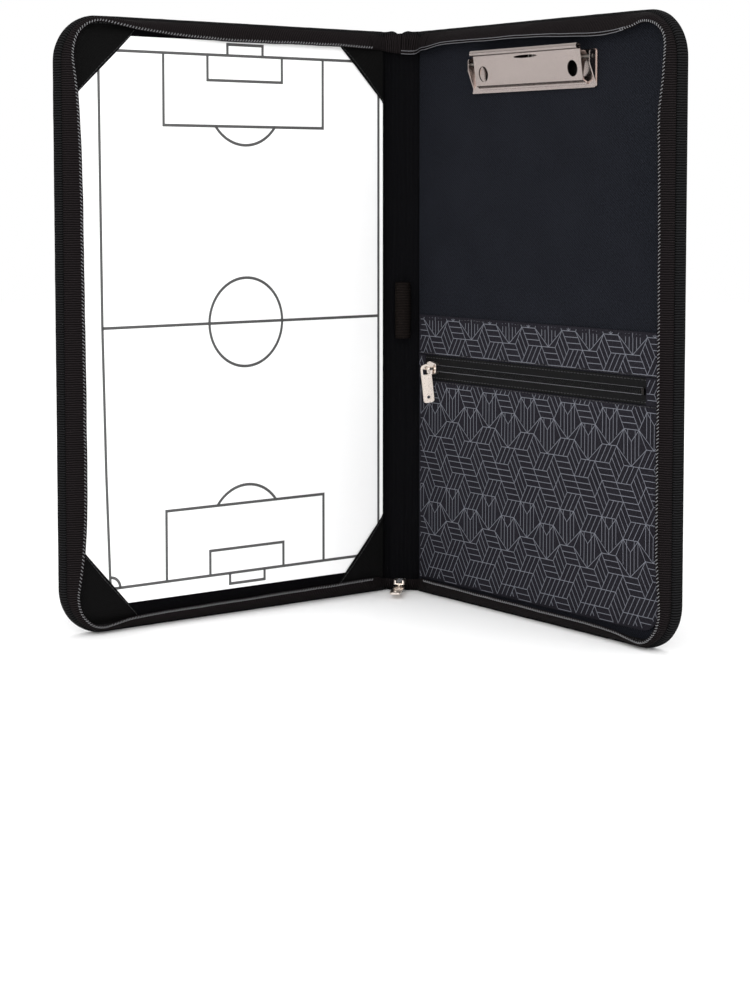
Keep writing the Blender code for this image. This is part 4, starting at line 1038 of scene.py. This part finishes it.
def make_pocket():
    towards, body, below = facing("back"), "back_cover", ["back_lining_cloth"]
    rows = leaf("back", POCKET_FOLD, POCKET_FOOT, 16.5, pocket_level, 3.5, square_top=134.7)
    lower = cloth("pocket_cloth_lower", rows, 0.5, towards)
    keep(lower, PRINTED, body, ["pocket_panel"])
    cut_to(rows, below, rounded=True)

    rows, places = [], [POCKET_FOLD + (POCKET_OUTER - POCKET_FOLD) * k / 60 for k in range(61)]
    for y in (150.3, 150.9, 153.0, 157.0, 161.0, 165.0, 169.0, 171.6, 172.4, 174.2, 174.8, 175.0):
        # Its first and last rows are turned under
        under = 0.3 if y in (150.3, 175.0) else 0
        rows.append([at("back", u, y, band_level(u, y) - under) for u in places])
    upper = cloth("pocket_cloth_upper", rows, 0.4, towards)
    keep(upper, PRINTED, body, ["pocket_top_band"])
    cut_to(rows, below)

    for name, up, seed in (("lower", (135.1, 141.9), 3.0), ("upper", (143.1, 149.9), 5.0)):
        tape = f"pocket_zip_tape_{name}"
        flat_strip(f"{tape}_cloth", "back", (5.6, 225.1), up, 7.05, 0.4, SATIN_TAPE, 2.2, seed, [tape])
    closed_coil(
        "pocket_zip_teeth", 192.6,
        lambda along, across, out: at("back", 16.3 + along, 142.5 + across, 8.2 + out),
        BLACK_COIL, body, "pocket_zip_coil",
    )
    # Two pale wires along the tapes: painted highlights on their edges, the lower one thicker and so brighter
    for n, (up, radius) in enumerate(((140.6, 0.00022), (144.4, 0.00012))):
        points = [at("back", 14 + 2.5 * k, up, 7.6 + 0.05 * wobble(k / 4, up)) for k in range(79)]
        keep(wire(f"pocket_zip_highlight_{n + 1}", points, radius), EDGE_HIGHLIGHT, body)
    for name, across in (("fold", (5.6, 12.2)), ("outer", (211.5, 225.1))):
        flat_strip(f"pocket_end_{name}", "back", across, (134.9, 150.1), 7.5, 0.25, PRINTED, 2.2, 7.0)

    # One row on the lower cloth, two on the upper and one on each tape, a little above their cloth
    seams = ((134.0, None), (151.2, 7.24), (173.4, 7.24), (136.4, 7.1), (148.6, 7.1))
    places = [6.5 + 2.2 * k for k in range(100)]
    for n, (up, level) in enumerate(seams):
        line = [(at("back", u, up, level or pocket_level(u, up) + 0.02), towards) for u in places]
        stitch_row(f"pocket_stitches_{n + 1}", line, 2.8, body)


make_pocket()


def printed_level(u, y):
    """The height of the printed cloth here, or nothing where there is none."""
    if 151.0 < y < 174.7 and 6.0 < u < 224.7:
        return band_level(u, y)
    in_corner = u > 208 and y < 27 and hypot(u - 208.7, y - 26.3) > 15.8
    if 10.4 < y < 134.3 and 6.0 < u < 224.6 and from_edge(u, y) > 10.6 and not in_corner:
        return pocket_level(u, y)
    if 135.2 < y < 149.8 and (5.9 < u < 11.9 or 211.8 < u < 224.8):
        return 7.52
    return None


def make_print():
    """A plain line pattern of hexagons: two in three are blocks of hatched lozenges, the third is fluted."""
    size, lines, normal = 11.9, [], facing("back")
    tall = size * sqrt(3) / 2
    corner = [Vector((cos(radians(a)), sin(radians(a)))) * size for a in range(0, 360, 60)]

    def draw(first, last):
        """Adds a straight line, cut where it leaves the printed cloth."""
        run = []
        for k in range(9):
            here = first.lerp(last, k / 8)
            level = printed_level(here.x, here.y)
            if level is not None:
                run.append((at("back", here.x, here.y, level), normal))
            if (level is None or k == 8) and len(run) > 1:
                lines.append(run)
            if level is None:
                run = []

    for row in range(-2, 11):
        for col in range(-1, 14):
            centre = Vector((col * size * 1.5 + 4, (row * 2 + col % 2) * tall - 3))
            for k in range(3):
                draw(centre + corner[k], centre + corner[k + 1])
            if (col + row + col // 2) % 3 == 0:
                foot, fork = centre - Vector((0, tall)), centre + Vector((0, 0.35 * tall))
                for x in (-0.5, -0.25, 0, 0.25, 0.5):
                    low = centre + Vector((x * size, abs(x) * 1.2 * tall - tall))
                    draw(low, centre + Vector((x * size, tall)) if x else fork)
                for k, end in ((3, foot), (0, foot), (2, fork), (1, fork)):
                    draw(centre + corner[k], end)
            else:
                for k in range(3):
                    turn = 2 * k + (col - row) % 2
                    way, start = corner[turn % 6], corner[(turn + 2) % 6]
                    for share in (0, 1 / 3, 2 / 3):
                        draw(centre + start * share, centre + start * share + way)
    keep(ribbon("pocket_print", lines, 0.40, 0.04), LINE_INK, "back_cover")


make_print()


for name, cad, look, body, bevel in (
    ("clip_base_plate", "clip_base", NICKEL, "back_cover", 0.15),
    ("clip_lever_plate", "clip_lever", NICKEL, "clip_lever", 0.15),
    ("clip_pin", "clip_hinge_pin", SPRING_WIRE, "back_cover", 0.25),
    ("clip_spring_wire", "clip_spring", SPRING_WIRE, "back_cover", 0.0),
    # The rivet heads are dark as painted shade in the plate's holes
    ("clip_rivet_head_1", "clip_rivet_1", BLACKENED_AND_HOLE_SHADE, "back_cover", 0.1),
    ("clip_rivet_head_2", "clip_rivet_2", BLACKENED_AND_HOLE_SHADE, "back_cover", 0.1),
    ("pocket_slider_body", "pocket_zip_slider", CAST_NICKEL, "pocket_slider", 0.14),
    ("pocket_puller_plate", "pocket_zip_puller", CAST_NICKEL, "pocket_puller", 0.18),
    ("main_slider_body", "main_zip_slider", CAST_NICKEL, "spine", 0.14),
    ("main_puller_plate", "main_zip_puller", CAST_NICKEL, "main_puller", 0.18),
    ("pocket_stop_fold", "pocket_zip_stop_fold", BLACKENED_AND_HOLE_SHADE, "back_cover", 0.15),
    ("pocket_stop_outer", "pocket_zip_stop_outer", BLACKENED_AND_HOLE_SHADE, "back_cover", 0.15),
):
    dressed(name, cad, look, body, bevel)

# The last closed teeth of the main zip, standing on the lower tail
closed_coil(
    "main_zip_teeth", 9.2,
    lambda along, across, out: at("spine", SPINE / 2 + across, 7.6 + out, 8.35 + along),
    COIL, "spine", "main_zip_end",
)


def set_studio():
    bpy.ops.mesh.primitive_grid_add(x_subdivisions=8, y_subdivisions=8, size=7.0)
    floor = bpy.context.active_object
    floor.name = "floor"
    coat(floor, PAPER)
    world = bpy.context.scene.world or bpy.data.worlds.new("studio")
    bpy.context.scene.world = world
    world.use_nodes = True
    back = world.node_tree.nodes["Background"]
    back.inputs["Color"].default_value = (1.0, 1.0, 1.0, 1)
    back.inputs["Strength"].default_value = 1.0
    bpy.context.scene.view_settings.view_transform = "Standard"
    for name, place, size, power in (
        ("key", (-0.9, -1.5, 1.5), 1.2, 9),
        ("fill", (1.3, -1.3, 1.1), 1.4, 6),
        ("front", (0.15, -1.8, 0.5), 1.2, 17),
        ("top", (0.0, 0.2, 1.8), 1.2, 3),
        ("behind", (0.2, 1.6, 1.3), 1.2, 5),
    ):
        data = bpy.data.lights.new(name, "AREA")
        data.shape, data.size, data.energy = "DISK", size, power
        lamp = add(name, data)
        lamp.location = place
        lamp.rotation_euler = (Vector((0, 0, 0.17)) - Vector(place)).to_track_quat("-Z", "Y").to_euler()


set_studio()
